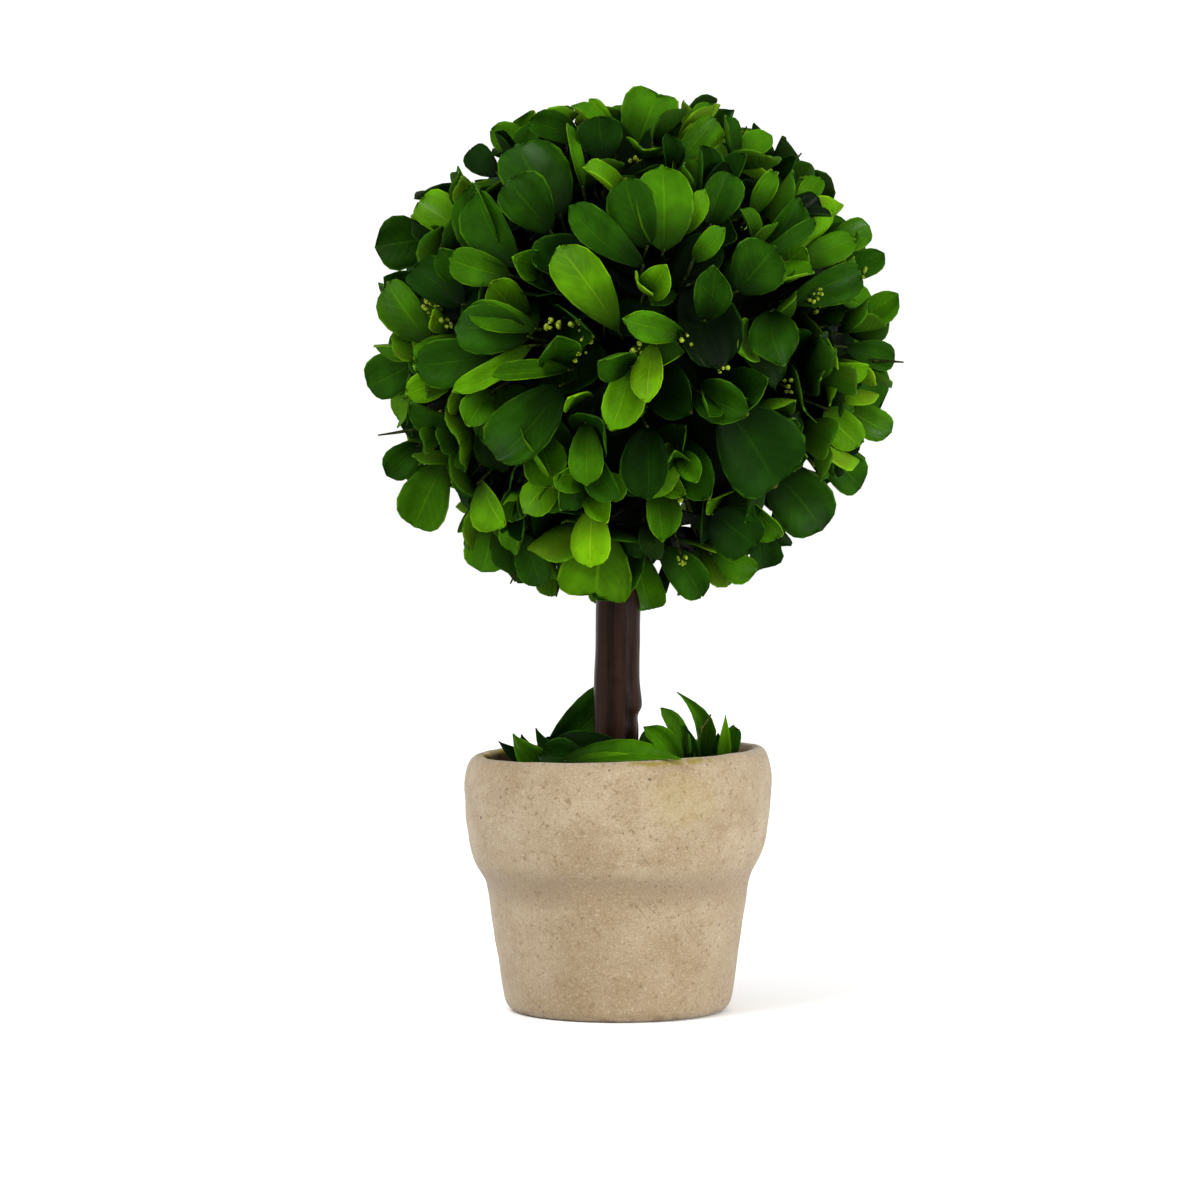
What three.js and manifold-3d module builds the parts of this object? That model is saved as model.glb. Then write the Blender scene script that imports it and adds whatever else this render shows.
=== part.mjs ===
// A small box topiary: a clipped ball of box leaves on a bare stick, standing in a clay pot.
// Millimetres, Z up, the front towards -Y. The origin is the middle of the pot's flat underside.
import * as THREE from 'three';
import { mergeVertices } from 'three/addons/utils/BufferGeometryUtils.js';
import Module from 'manifold-3d';

const wasm = await Module();
wasm.setup();

// ---------------------------------------------------------------- driving dimensions

const GAP = 0.3; // clearance between neighbouring pieces
const SHORTEST_EDGE = 1e-3; // vertices closer than this are one

// The pot is hand thrown: a tapering body, a step, a swelling band and a soft lip.
const POT_SIDES = 36;
const FOOT_RADIUS = 18.9;
const FOOT_CORNER = 2.4;
const WAIST_RADIUS = 21.8;
const WAIST_HEIGHT = 21.1;
const BAND_FOOT_RADIUS = 24.2;
const BAND_FOOT_HEIGHT = 26.4;
const BAND_RADIUS = 25.5;
const BAND_HEIGHT = 37.5;
const LIP_RADIUS = 23.4;
const LIP_HEIGHT = 43.1;
const MOUTH_RADIUS = 21.4;
const MOUTH_HEIGHT = 41.2;
const INNER_FOOT_RADIUS = 15.6;
const POT_FLOOR = 5;
const RIM_SLOPE = 0.032; // the rim is higher on the right: rise for each mm across
const RIM_SLOPE_TOP = 36; // height at which the slope is fully reached

// Handles of the curves in the pot's outline, out and up from the points that they belong to.
const FOOT_HANDLE = -0.4;
const WAIST_HANDLE = [0.3, 2.2];
const BAND_FOOT_HANDLE = [-0.6, -2.4];
const BAND_HANDLE = [-0.1, -6];
const LIP_HANDLE = -0.4;
const MOUTH_HANDLE = 0.3;
const CURVE_STEPS = 4;

// The fill holds the stick and lies below the lip.
const FILL_EDGE = 38;
const FILL_CROWN = 38.8;
const FILL_LEVEL = 0.55; // share of its radius over which the crown is level

// The stick leans a little to the right and has a burr low on its right side.
const TRUNK_SIDES = 12;
const TRUNK_BOTTOM = 17;
const TRUNK_TIP = 96;
const TRUNK_FOOT_RADIUS = 3.87;
const TRUNK_TIP_RADIUS = 3.55;
const TRUNK_LEAN = 0.02;
const TRUNK_PLUMB_HEIGHT = 65; // here the stick crosses the pot's axis
const TRUNK_RINGS = [32, 44, 58, 70, 83];
const BURR_HEIGHT = 50.6;
const BURR_RISE = 0.7;
const BURR_SPAN = 1.6;

// The ball: a dense core, and leafy sprigs that stand out of it all round.
const BALL_CENTRE = new THREE.Vector3(2, 0, 109.5);
const CORE_RADIUS = 28;
const CORE_DETAIL = 3;
const LEAF_DEPTH = 26; // leaves lie between this and the reach, from the ball's centre
const BALL_REACH = 43.6;
const TRUNK_BERTH = 4.6; // leaves stay this far from the stick's line
const SPRIGS = 68;
const SPRIG_SEED = 7;
const SPRIG_LEAN = 28;
const SPRIG_FOOT = 27; // the foot of a sprig, just under the core's skin
const SPRIG_SINK = 4; // a twig starts this much deeper
const SPRIG_SIZE = [0.82, 1.15];
const SPRIG_REFERENCE = new THREE.Vector3(0.3, 0.5, 0.81); // a sprig's turns are counted from here
const LEAF_AROUND = [-18, 18]; // degrees round the twig
const LEAF_SPREAD = [-14, 14]; // degrees added to a pair's own spread
const LEAF_LENGTH = [0.8, 1.15];
const LEAF_WIDTH = [0.5, 0.68]; // width for a length of 1
const LEAF_ROLL = [-28, 28];
const LEAF_NEAR = 0.55; // leaves are tested where their middles are nearer than this, by their lengths
const LEAF_TOUCH = 0.9; // a leaf's room: the square of the share of its ellipse

// The leaf pairs of a sprig, from its foot up: height, spread from the twig in degrees, leaf length.
const LEAF_PAIRS = [
  { height: 2.6, spread: 64, length: 14.0 },
  { height: 6.0, spread: 50, length: 13.0 },
  { height: 9.2, spread: 30, length: 9.5 },
];
const SWINGS = [[0, 0], [12, 18], [-12, -18], [22, -30], [-22, 30], [0, 45]]; // tilt, roll to try

// Every leaf is a kite: thickest near its root, and broadest beyond its middle.
const LEAF_THICKNESS = 0.7;
const LEAF_THICKEST = 0.35;
const LEAF_BROADEST = 0.6;
const LEAF_ROOT = 0.1; // from the middle of its twig to a leaf's root, inside the twig
const TWIG_RADIUS = 1;
const TWIG_TAPER = 0.8; // a twig's radius at its tip, for 1 at its foot
const TWIG_TIP = 0.8; // a twig runs on past its last leaves by this

// Leading leaves on the front of the ball, as seen from the front in mm from its centre:
// root across, root up, tip across, tip up, width, roll in degrees.
const FRONT_ROOT_REACH = 36.5;
const FRONT_TIP_REACH = 42.5;
const FRONT_LEAN = 0.45; // how much nearer a front leaf's tip may be than its root, by its run
const FRONT_OUTWARD = 0.25; // how far the front leaves face out of the ball, the rest forwards
const FRONT_BERTH = 1.5; // other leaves keep this far from a leading leaf's blade
const FRONT_IN_VIEW = 0.5; // and don't stand before this much of its ellipse, as its radius squared
const FRONT_FACES = 0.3; // how far forwards a leading leaf has to face for that
const FRONT_LEAVES = [
  [-2.0, 3.0, -11.6, 16.4, 7.6, 0], [8.6, 2.4, -1.8, 5.0, 4.8, -10],
  [2.0, 13.0, -9.5, 23.0, 6.0, 25], [2.6, 16.0, -1.0, 27.2, 7.4, -15],
  [5.2, 15.5, 5.0, 29.4, 8.4, 5], [12.5, 19.5, 15.6, 28.4, 6.6, 0],
  [8.2, 18.0, 11.8, 25.4, 3.2, 0], [-11.0, 21.0, -18.6, 33.6, 10.4, 5],
  [-12.5, 18.5, -19.6, 27.0, 8.6, 0], [-18.0, 13.0, -24.4, 25.2, 7.6, -5],
  [-19.0, 11.6, -29.2, 14.6, 5.6, 0], [-25.5, 18.5, -35.0, 24.6, 6.6, 0],
  [-26.5, 7.0, -35.6, 13.4, 7.0, 10], [-14.8, 3.2, -26.0, 6.6, 4.6, 10],
  [-16.0, 2.0, -28.0, 3.4, 7.6, 0], [-15.6, 0.6, -28.4, -6.8, 3.8, 30],
  [-9.6, -3.2, -22.0, -4.2, 3.6, 40], [-21.5, -1.0, -34.4, -2.6, 7.6, 0],
  [-11.0, -5.6, -21.4, -17.6, 9.6, 0], [-7.0, -11.4, -7.0, -21.6, 5.4, 0],
  [-6.4, -22.6, -3.6, -27.6, 4.4, 0], [-6.0, -25.4, -6.4, -35.0, 6.0, 0],
  [2.6, -12.0, 3.0, -24.0, 7.6, 15], [3.6, 1.0, 2.6, -8.8, 5.0, 10],
  [15.0, -9.0, 23.6, -22.4, 13.4, 0], [22.2, 6.2, 24.2, -3.2, 7.8, 0],
  [16.6, 9.0, 23.0, 16.4, 8.8, 0], [11.5, 4.5, 13.0, 13.5, 6.0, 0],
  [25.0, 7.6, 37.4, 12.6, 6.4, 10], [24.0, 15.0, 33.5, 22.5, 3.6, 20],
  [20.0, 14.5, 29.5, 21.0, 3.0, 30], [27.0, 13.5, 36.5, 18.0, 4.6, 0],
  [22.5, -19.0, 31.6, -29.6, 9.6, 0], [-4.4, -28.5, -5.8, -40.6, 12.0, 0],
  [13.0, -26.0, 20.5, -31.8, 8.4, 0], [-15.0, -13.5, -12.0, -22.0, 7.0, 0],
];

// Those that make the ball's outline as seen from the front, clockwise from its top.
const OUTLINE_LEAVES = [
  [0.6, 31.6, 4.8, 42.9, 8.8, 0], [-2.5, 36.0, -7.0, 41.0, 2.8, 0],
  [7.1, 29.5, 14.0, 37.8, 4.2, 0], [17.3, 31.0, 23.2, 35.0, 4.0, 0],
  [22.3, 29.0, 27.2, 31.6, 2.4, 0], [27.0, 22.5, 31.2, 28.4, 3.6, 0],
  [32.0, 16.9, 39.8, 20.6, 5.0, 0], [35.0, 12.0, 42.0, 16.0, 4.6, 0],
  [36.4, 4.2, 44.3, 9.4, 5.2, 0], [35.0, 0.4, 43.6, -1.9, 4.8, 0],
  [35.0, -8.8, 43.2, -13.6, 5.2, 0], [31.5, -9.5, 37.4, -15.6, 5.4, 0],
  [31.5, -17.4, 38.2, -22.8, 6.4, 0], [13.0, -32.8, 21.0, -36.0, 5.2, 0],
  [5.0, -32.0, 11.8, -40.4, 5.8, 0], [1.6, -33.0, 3.6, -43.2, 6.6, 0],
  [-17.6, -29.6, -14.6, -39.0, 5.4, 0], [-23.0, -28.0, -24.5, -36.5, 7.0, 0],
  [-30.0, -18.0, -35.4, -29.0, 8.4, 0], [-34.6, -15.6, -40.4, -20.8, 5.4, 0],
  [-34.0, -0.8, -43.2, -5.9, 7.4, 0], [-32.3, 1.2, -39.4, 11.0, 7.0, 0],
  [-32.2, 18.4, -42.2, 16.8, 8.4, 0], [-21.6, 28.6, -26.6, 33.4, 4.6, 0],
  [-15.6, 33.0, -23.2, 36.2, 5.0, 0], [-8.0, 33.4, -16.8, 37.0, 5.0, 0],
  [-7.5, 25.5, -10.2, 36.4, 2.6, 50], [-4.4, 30.0, -5.2, 37.6, 7.0, 0],
];

// Loose leaves stand round the stick's foot, on a low bed of leaf litter that lies on the fill.
const LITTER_SIDES = 24;
const LITTER_INNER = 4.7;
const LITTER_OUTER = 19.6;
const LITTER_BOTTOM = FILL_CROWN + GAP;
const LITTER_RISE = 1.6;
const LITTER_EDGE = 1; // its top starts this far in, and this much lower
const LITTER_EDGE_DROP = 0.5;
const LITTER_SLOPE = 2; // its inner side, round the stick
const STALK_RADIUS = 0.6;

// Foot leaves: root x, y, z, tip x, y, z, width, roll in degrees.
const FOOT_LEAVES = [
  [-11.4, 5.0, 41.4, 1.4, 7.0, 53.4, 7.2, 0], [-8.6, 3.0, 40.4, -13.9, 3.6, 46.5, 3.4, 0],
  [-13.0, -4.0, 40.4, -17.4, -4.4, 46.0, 4.6, 0], [-15.4, 1.0, 40.4, -20.0, 1.2, 44.4, 2.8, 0],
  [-5.0, -6.6, 41.0, -12.8, -9.0, 43.0, 5.6, 0], [4.0, -7.0, 42.2, -12.0, -8.8, 42.6, 7.0, -24],
  [-9.2, -13.6, 42.8, 9.6, -18.6, 43.4, 5.0, -30], [-7.0, -15.0, 41.8, 5.6, -16.6, 42.4, 2.8, -20],
  [10.8, -4.4, 40.0, 4.0, -3.6, 47.2, 4.0, 10], [11.4, -2.4, 40.0, 6.6, -1.8, 50.4, 3.4, 20],
  [12.4, -1.6, 40.0, 10.6, -1.0, 47.4, 2.6, 20], [14.2, 0.4, 40.0, 9.7, 1.0, 52.8, 4.0, 0],
  [6.2, 4.6, 40.0, 4.8, 5.2, 46.6, 4.2, 0], [15.4, 4.2, 40.0, 16.6, 5.0, 45.6, 3.8, 0],
  [17.4, -1.4, 40.3, 17.8, -1.6, 49.2, 2.2, 0], [18.4, 1.6, 40.3, 19.1, 1.8, 47.4, 3.0, 0],
];

// More of them stand behind the stick, spaced evenly round the back of the mouth.
const BACK_LEAVES = 12;
const BACK_SEED = 5;
const BACK_FROM = 15; // degrees round from the right
const BACK_SPAN = 150;
const BACK_REACH = [9, 15];
const BACK_ROOT = 40.2;
const BACK_ACROSS = [-3, 3];
const BACK_BEHIND = [0, 3];
const BACK_RISE = [2.5, 5];
const BACK_WIDTH = [3, 5.4];
const BACK_ROLL = [-50, 50];
const FOOT_FACING_UP = 0.35; // how far the foot leaves face up, for 1 forwards
const STALK_START = 0.4; // a stalk starts this far up in the litter

// Colour and roughness of each stuff.
const CLAY = { color: 0xc4b396, roughness: 0.95 };
const CRUST = { color: 0x6b5a45, roughness: 0.95 };
const BARK = { color: 0x4a302a, roughness: 0.45 };
const BALL_LEAF = { color: 0x2c5a14, roughness: 0.5 };
const FOOT_LEAF = { color: 0x2f5416, roughness: 0.5 };

// ---------------------------------------------------------------- solids

/** Merges a geometry's shared vertices and drops the faces that this makes empty. */
function weld(geometry, tolerance = 1e-5) {
  geometry.deleteAttribute('normal');
  geometry.deleteAttribute('uv');
  const merged = mergeVertices(geometry, tolerance);
  const faces = [];
  for (let i = 0; i < merged.index.count; i += 3) {
    const [a, b, c] = [0, 1, 2].map((k) => merged.index.getX(i + k));
    if (a !== b && b !== c && c !== a) faces.push(a, b, c);
  }
  merged.setIndex(faces);
  return merged;
}

/** Makes a closed geometry into a solid that can be joined and cut. */
function solidOf(geometry) {
  const welded = weld(geometry);
  const vertProperties = new Float32Array(welded.attributes.position.array);
  const triVerts = new Uint32Array(welded.index.array);
  return new wasm.Manifold(new wasm.Mesh({ numProp: 3, vertProperties, triVerts }));
}

/** The largest body of a solid: loose scraps and sealed pockets are left out. */
function mainBody(solid) {
  return solid.decompose().sort((a, b) => b.volume() - a.volume())[0];
}

/** Turns a solid back into a geometry, welded until it is one closed body with no pocket. */
function geometryOf(solid) {
  let geometry;
  let made = solid;
  do {
    const { vertProperties, triVerts } = mainBody(made).getMesh();
    geometry = new THREE.BufferGeometry();
    geometry.setAttribute('position', new THREE.BufferAttribute(vertProperties, 3));
    geometry.setIndex(new THREE.BufferAttribute(triVerts, 1));
    geometry = weld(geometry, SHORTEST_EDGE);
    made = solidOf(geometry);
  } while (made.decompose().length > 1);
  return geometry;
}

/** Moves every vertex of a geometry by a rule. */
function deform(geometry, rule) {
  const position = geometry.attributes.position;
  const point = new THREE.Vector3();
  for (let i = 0; i < position.count; i++) {
    point.fromBufferAttribute(position, i);
    rule(point);
    position.setXYZ(i, point.x, point.y, point.z);
  }
  return geometry;
}

/** Spins an outline of [radius, height] points round the Z axis. */
function turned(outline, sides) {
  return new THREE.LatheGeometry(outline, sides).rotateX(Math.PI / 2);
}

/** Lifts the right side of the pot and lowers its left, more and more towards the rim. */
function slopeRim(point) {
  point.z += point.x * RIM_SLOPE * THREE.MathUtils.smoothstep(point.z, 0, RIM_SLOPE_TOP);
}

/** A mesh with its own material. */
function piece(name, geometry, finish) {
  const mesh = new THREE.Mesh(geometry, new THREE.MeshStandardMaterial(finish));
  mesh.name = name;
  return mesh;
}

// ---------------------------------------------------------------- pot, fill and trunk

/** The radius of the pot's inner wall at a height. */
function innerWall(z) {
  const share = (z - POT_FLOOR) / (MOUTH_HEIGHT - POT_FLOOR);
  return THREE.MathUtils.lerp(INNER_FOOT_RADIUS, MOUTH_RADIUS, share);
}

function makePot() {
  const outline = new THREE.Path();
  outline.moveTo(0, 0);
  outline.lineTo(FOOT_RADIUS - FOOT_CORNER, 0);
  outline.quadraticCurveTo(FOOT_RADIUS + FOOT_HANDLE, 0, FOOT_RADIUS, FOOT_CORNER);
  outline.lineTo(WAIST_RADIUS, WAIST_HEIGHT);
  outline.bezierCurveTo(
    WAIST_RADIUS + WAIST_HANDLE[0], WAIST_HEIGHT + WAIST_HANDLE[1],
    BAND_FOOT_RADIUS + BAND_FOOT_HANDLE[0], BAND_FOOT_HEIGHT + BAND_FOOT_HANDLE[1],
    BAND_FOOT_RADIUS, BAND_FOOT_HEIGHT,
  );
  const [bandOut, bandUp] = BAND_HANDLE;
  outline.quadraticCurveTo(BAND_RADIUS + bandOut, BAND_HEIGHT + bandUp, BAND_RADIUS, BAND_HEIGHT);
  outline.quadraticCurveTo(BAND_RADIUS, LIP_HEIGHT + LIP_HANDLE, LIP_RADIUS, LIP_HEIGHT);
  outline.quadraticCurveTo(MOUTH_RADIUS + MOUTH_HANDLE, LIP_HEIGHT, MOUTH_RADIUS, MOUTH_HEIGHT);
  outline.lineTo(INNER_FOOT_RADIUS, POT_FLOOR);
  outline.lineTo(0, POT_FLOOR);
  const pot = deform(turned(outline.getPoints(CURVE_STEPS), POT_SIDES), slopeRim);
  return piece('pot', weld(pot), CLAY);
}

function makeFill(trunkSpace) {
  const outline = [
    new THREE.Vector2(0, POT_FLOOR + GAP),
    new THREE.Vector2(innerWall(POT_FLOOR + GAP) - GAP, POT_FLOOR + GAP),
    new THREE.Vector2(innerWall(FILL_EDGE) - GAP, FILL_EDGE),
    new THREE.Vector2(innerWall(FILL_EDGE) * FILL_LEVEL, FILL_CROWN),
    new THREE.Vector2(0, FILL_CROWN),
  ];
  const fill = deform(turned(outline, POT_SIDES), slopeRim);
  return piece('fill', geometryOf(solidOf(fill).subtract(trunkSpace)), CRUST);
}

/** The stick, or with extra the space that its neighbours leave free for it. */
function trunkShape(extra) {
  const burr = [BURR_HEIGHT - BURR_SPAN, BURR_HEIGHT, BURR_HEIGHT + BURR_SPAN];
  const heights = [TRUNK_BOTTOM - extra, ...TRUNK_RINGS, ...burr, TRUNK_TIP + extra];
  heights.sort((a, b) => a - b);
  const outline = heights.map((z) => {
    const share = (z - TRUNK_BOTTOM) / (TRUNK_TIP - TRUNK_BOTTOM);
    const radius = THREE.MathUtils.lerp(TRUNK_FOOT_RADIUS, TRUNK_TIP_RADIUS, share);
    return new THREE.Vector2(radius + extra, z);
  });
  outline.unshift(new THREE.Vector2(0, heights[0]));
  outline.push(new THREE.Vector2(0, heights.at(-1)));
  return deform(turned(outline, TRUNK_SIDES), (point) => {
    const off = (point.z - BURR_HEIGHT) / BURR_SPAN;
    const right = Math.max(0, point.x) / TRUNK_FOOT_RADIUS;
    point.x += BURR_RISE * right * Math.exp(-off * off);
    point.x += (point.z - TRUNK_PLUMB_HEIGHT) * TRUNK_LEAN;
  });
}

function makeTrunk() {
  return piece('trunk', weld(trunkShape(0)), BARK);
}

// ---------------------------------------------------------------- leaves

/** Repeatable draws between 0 and 1, the same in any language. */
class Draws {
  constructor(seed) {
    this.state = seed;
  }

  next() {
    this.state = (this.state * 1664525 + 1013904223) % 4294967296;
    return this.state / 4294967296;
  }

  between(low, high) {
    return low + (high - low) * this.next();
  }
}

/** A vector turned round an axis by degrees. */
function swung(vector, axis, degrees) {
  return vector.clone().applyAxisAngle(axis, THREE.MathUtils.degToRad(degrees));
}

/** The six points round a leaf's edge, for the tests of where it may lie. */
function leafEdge({ root, along, side, length, width }) {
  return [0, 1, 2, 3, 4, 5].map((k) => {
    const turn = (k * Math.PI) / 3;
    const point = root.clone().addScaledVector(along, length * (0.5 + 0.5 * Math.cos(turn)));
    return point.addScaledVector(side, width * 0.5 * Math.sin(turn));
  });
}

/** Whether an edge of six points passes through another leaf's blade. */
function passesThrough(edge, { root, along, side, face, length, width }) {
  const local = edge.map((point) => {
    const from = point.clone().sub(root);
    return { a: from.dot(along), s: from.dot(side), h: from.dot(face) };
  });
  return local.some((p, k) => {
    const q = local[(k + 1) % local.length];
    if (p.h > 0 === q.h > 0) return false;
    const t = p.h / (p.h - q.h);
    const a = (p.a + (q.a - p.a) * t) / length;
    const s = (p.s + (q.s - p.s) * t) / (width / 2);
    return ((a - 0.5) / 0.5) ** 2 + s ** 2 < LEAF_TOUCH;
  });
}

/** Whether a leaf comes close to a leading leaf's blade, or stands before it as seen from the front. */
function standsInTheWay(leaf, { middle, along, side, face, length, width }) {
  const inEllipse = (a, s) => (a / (length / 2)) ** 2 + (s / (width / 2)) ** 2;
  const close = leaf.edge.some((point) => {
    const off = point.clone().sub(middle);
    return Math.abs(off.dot(face)) < FRONT_BERTH && inEllipse(off.dot(along), off.dot(side)) < 1;
  });
  if (close || Math.abs(face.y) < FRONT_FACES) return close;
  const points = [...leaf.edge, ...leaf.edge.map((p) => p.clone().lerp(leaf.middle, 0.5)), leaf.middle];
  return points.some((point) => {
    const off = point.clone().sub(middle);
    const a = (side.x * off.z - off.x * side.z) / face.y;
    const s = (off.x * along.z - along.x * off.z) / face.y;
    return off.y < a * along.y + s * side.y && inEllipse(a, s) < FRONT_IN_VIEW;
  });
}

/** Leaves and twigs, in mm from the ball's centre. A leaf that has no room is skipped. */
class Foliage {
  constructor() {
    this.leaves = [];
    this.twigs = [];
  }

  /** Whether a leaf keeps to the ball's space and clear of the stick and the other leaves. */
  hasRoom(leaf) {
    const depths = leaf.edge.map((point) => point.length());
    if (Math.max(...depths) > BALL_REACH || Math.min(...depths) < LEAF_DEPTH) return false;
    const nearTrunk = leaf.edge.some((point) => {
      const away = Math.hypot(point.x + BALL_CENTRE.x, point.y);
      return point.z < 0 && away < TRUNK_BERTH;
    });
    if (nearTrunk || this.leaves.some((other) => other.leading && standsInTheWay(leaf, other))) return false;
    return !this.leaves.some((other) => {
      if (leaf.middle.distanceTo(other.middle) >= (leaf.length + other.length) * LEAF_NEAR) return false;
      return passesThrough(leaf.edge, other) || passesThrough(other.edge, leaf);
    });
  }

  /** Adds a leaf as it is, or in the first of the swings that has room. */
  add(root, along, face, length, width, tested = true) {
    for (const [tilt, roll] of tested ? SWINGS : SWINGS.slice(0, 1)) {
      const hinge = face.clone().cross(along);
      const leaf = { root, length, width, leading: !tested, along: swung(along, hinge, tilt) };
      leaf.face = swung(swung(face, hinge, tilt), leaf.along, roll);
      leaf.side = leaf.face.clone().cross(leaf.along);
      leaf.edge = leafEdge(leaf);
      leaf.middle = root.clone().addScaledVector(leaf.along, length / 2);
      if (!tested || this.hasRoom(leaf)) {
        this.leaves.push(leaf);
        return true;
      }
    }
    return false;
  }

  /** Adds a twig that runs on a little past the leaves at its end. */
  addTwig(from, to, radius) {
    const past = to.clone().sub(from).setLength(TWIG_TIP);
    this.twigs.push({ from, to: to.clone().add(past), radius });
  }
}

/** A point on the front of the ball, at a distance from its centre. */
function onFront(across, up, reach) {
  return new THREE.Vector3(across, -Math.sqrt(Math.max(reach ** 2 - across ** 2 - up ** 2, 0)), up);
}

/** The leading leaves of the front. They face forwards and a little outwards. */
function growFront(foliage) {
  for (const [rootX, rootZ, tipX, tipZ, width, roll] of [...FRONT_LEAVES, ...OUTLINE_LEAVES]) {
    const root = onFront(rootX, rootZ, FRONT_ROOT_REACH);
    const tip = onFront(tipX, tipZ, FRONT_TIP_REACH);
    root.y = Math.max(root.y, tip.y - FRONT_LEAN * Math.hypot(tipX - rootX, tipZ - rootZ));
    const along = tip.clone().sub(root).normalize();
    const outward = root.clone().add(tip).normalize();
    const face = outward.multiplyScalar(FRONT_OUTWARD);
    face.y -= 1 - FRONT_OUTWARD;
    face.addScaledVector(along, -face.dot(along)).normalize();
    foliage.add(root, along, swung(face, along, roll), tip.distanceTo(root), width, false);
    foliage.addTwig(root.clone().setLength(SPRIG_FOOT - SPRIG_SINK), root, TWIG_RADIUS);
  }
}

/** One sprig: a leaning twig with leaf pairs, each pair at right angles to the one below. */
function growSprig(foliage, out, draws) {
  const lean = draws.between(0, SPRIG_LEAN);
  const leanTurn = draws.between(0, 360);
  const baseTurn = draws.between(0, 180);
  const size = draws.between(...SPRIG_SIZE);
  const across = out.clone().cross(SPRIG_REFERENCE).normalize();
  const axis = swung(out, swung(across, out, leanTurn), lean);
  const foot = out.clone().multiplyScalar(SPRIG_FOOT);
  const first = swung(axis.clone().cross(across).normalize(), axis, baseTurn);
  let top = foot;
  LEAF_PAIRS.forEach((pair, level) => {
    const at = foot.clone().addScaledVector(axis, pair.height * size);
    for (const half of [0, 180]) {
      const around = draws.between(...LEAF_AROUND);
      const spread = THREE.MathUtils.degToRad(pair.spread + draws.between(...LEAF_SPREAD));
      const length = pair.length * size * draws.between(...LEAF_LENGTH);
      const width = length * draws.between(...LEAF_WIDTH);
      const roll = draws.between(...LEAF_ROLL);
      const away = swung(first, axis, level * 90 + half + around);
      const along = axis.clone().multiplyScalar(Math.cos(spread)).addScaledVector(away, Math.sin(spread));
      const face = axis.clone().multiplyScalar(Math.sin(spread)).addScaledVector(away, -Math.cos(spread));
      if (foliage.add(at, along, swung(face, along, roll), length, width)) top = at;
    }
  });
  foliage.addTwig(foot.clone().addScaledVector(axis, -SPRIG_SINK), top, TWIG_RADIUS);
}

/** The sprigs, spaced evenly over the whole ball on a spiral. */
function growBall() {
  const foliage = new Foliage();
  growFront(foliage);
  const draws = new Draws(SPRIG_SEED);
  for (let i = 0; i < SPRIGS; i++) {
    const up = 1 - (2 * i + 1) / SPRIGS;
    const turn = i * Math.PI * (3 - Math.sqrt(5));
    const ring = Math.sqrt(1 - up * up);
    growSprig(foliage, new THREE.Vector3(Math.cos(turn) * ring, Math.sin(turn) * ring, up), draws);
  }
  return foliage;
}

/** A leaf as a thin kite with a ridge above and one below. */
function leafSolid({ root, along, side, face, length, width }) {
  const leaf = deform(new THREE.SphereGeometry(1, 4, 2), (point) => {
    const middle = LEAF_BROADEST + (LEAF_THICKEST - LEAF_BROADEST) * Math.abs(point.y);
    const share = point.x < 0 ? middle * (1 + point.x) : middle + (1 - middle) * point.x;
    const a = THREE.MathUtils.lerp(LEAF_ROOT, length, share);
    const s = (-point.z * width) / 2;
    const h = (point.y * LEAF_THICKNESS) / 2;
    point.copy(root).addScaledVector(along, a).addScaledVector(side, s).addScaledVector(face, h);
  });
  return solidOf(leaf);
}

/** A three-sided twig from one point to another. */
function twigSolid({ from, to, radius }) {
  const run = to.clone().sub(from);
  const twig = new THREE.CylinderGeometry(radius * TWIG_TAPER, radius, run.length(), 3);
  twig.translate(0, run.length() / 2, 0);
  const lay = new THREE.Quaternion().setFromUnitVectors(THREE.Object3D.DEFAULT_UP, run.normalize());
  return solidOf(twig.applyQuaternion(lay).translate(from.x, from.y, from.z));
}

/** Joins foliage to what carries it, and cuts the mass clear of the stick. */
function leafyMass(name, carrier, foliage, centre, trunkSpace, finish) {
  const parts = [...foliage.twigs.map(twigSolid), ...foliage.leaves.map(leafSolid)];
  const mass = wasm.Manifold.union(parts).translate(centre.toArray()).add(carrier);
  return piece(name, geometryOf(mass.subtract(trunkSpace)), finish);
}

function makeLeafBall(trunkSpace) {
  const core = new THREE.IcosahedronGeometry(CORE_RADIUS, CORE_DETAIL).translate(...BALL_CENTRE);
  return leafyMass('leaf_ball', solidOf(core), growBall(), BALL_CENTRE, trunkSpace, BALL_LEAF);
}

/** A leaf of the stick's foot, with a stalk down into the litter where its root is higher. */
function addFootLeaf(foliage, root, tip, width, roll) {
  const along = tip.clone().sub(root).normalize();
  const face = new THREE.Vector3(0, -1, FOOT_FACING_UP);
  face.addScaledVector(along, -face.dot(along)).normalize();
  foliage.add(root, along, swung(face, along, roll), tip.distanceTo(root), width, false);
  foliage.addTwig(new THREE.Vector3(root.x, root.y, LITTER_BOTTOM + STALK_START), root, STALK_RADIUS);
}

function growFoot() {
  const foliage = new Foliage();
  for (const [rootX, rootY, rootZ, tipX, tipY, tipZ, width, roll] of FOOT_LEAVES) {
    const root = new THREE.Vector3(rootX, rootY, rootZ);
    addFootLeaf(foliage, root, new THREE.Vector3(tipX, tipY, tipZ), width, roll);
  }
  const draws = new Draws(BACK_SEED);
  for (let i = 0; i < BACK_LEAVES; i++) {
    const turn = THREE.MathUtils.degToRad(BACK_FROM + (BACK_SPAN * (i + draws.next())) / BACK_LEAVES);
    const out = new THREE.Vector3(Math.cos(turn), Math.sin(turn), 0);
    const root = out.clone().multiplyScalar(draws.between(...BACK_REACH)).setZ(BACK_ROOT);
    const steps = [BACK_ACROSS, BACK_BEHIND, BACK_RISE].map((range) => draws.between(...range));
    const tip = new THREE.Vector3(...steps).add(root);
    addFootLeaf(foliage, root, tip, draws.between(...BACK_WIDTH), draws.between(...BACK_ROLL));
  }
  return foliage;
}

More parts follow.
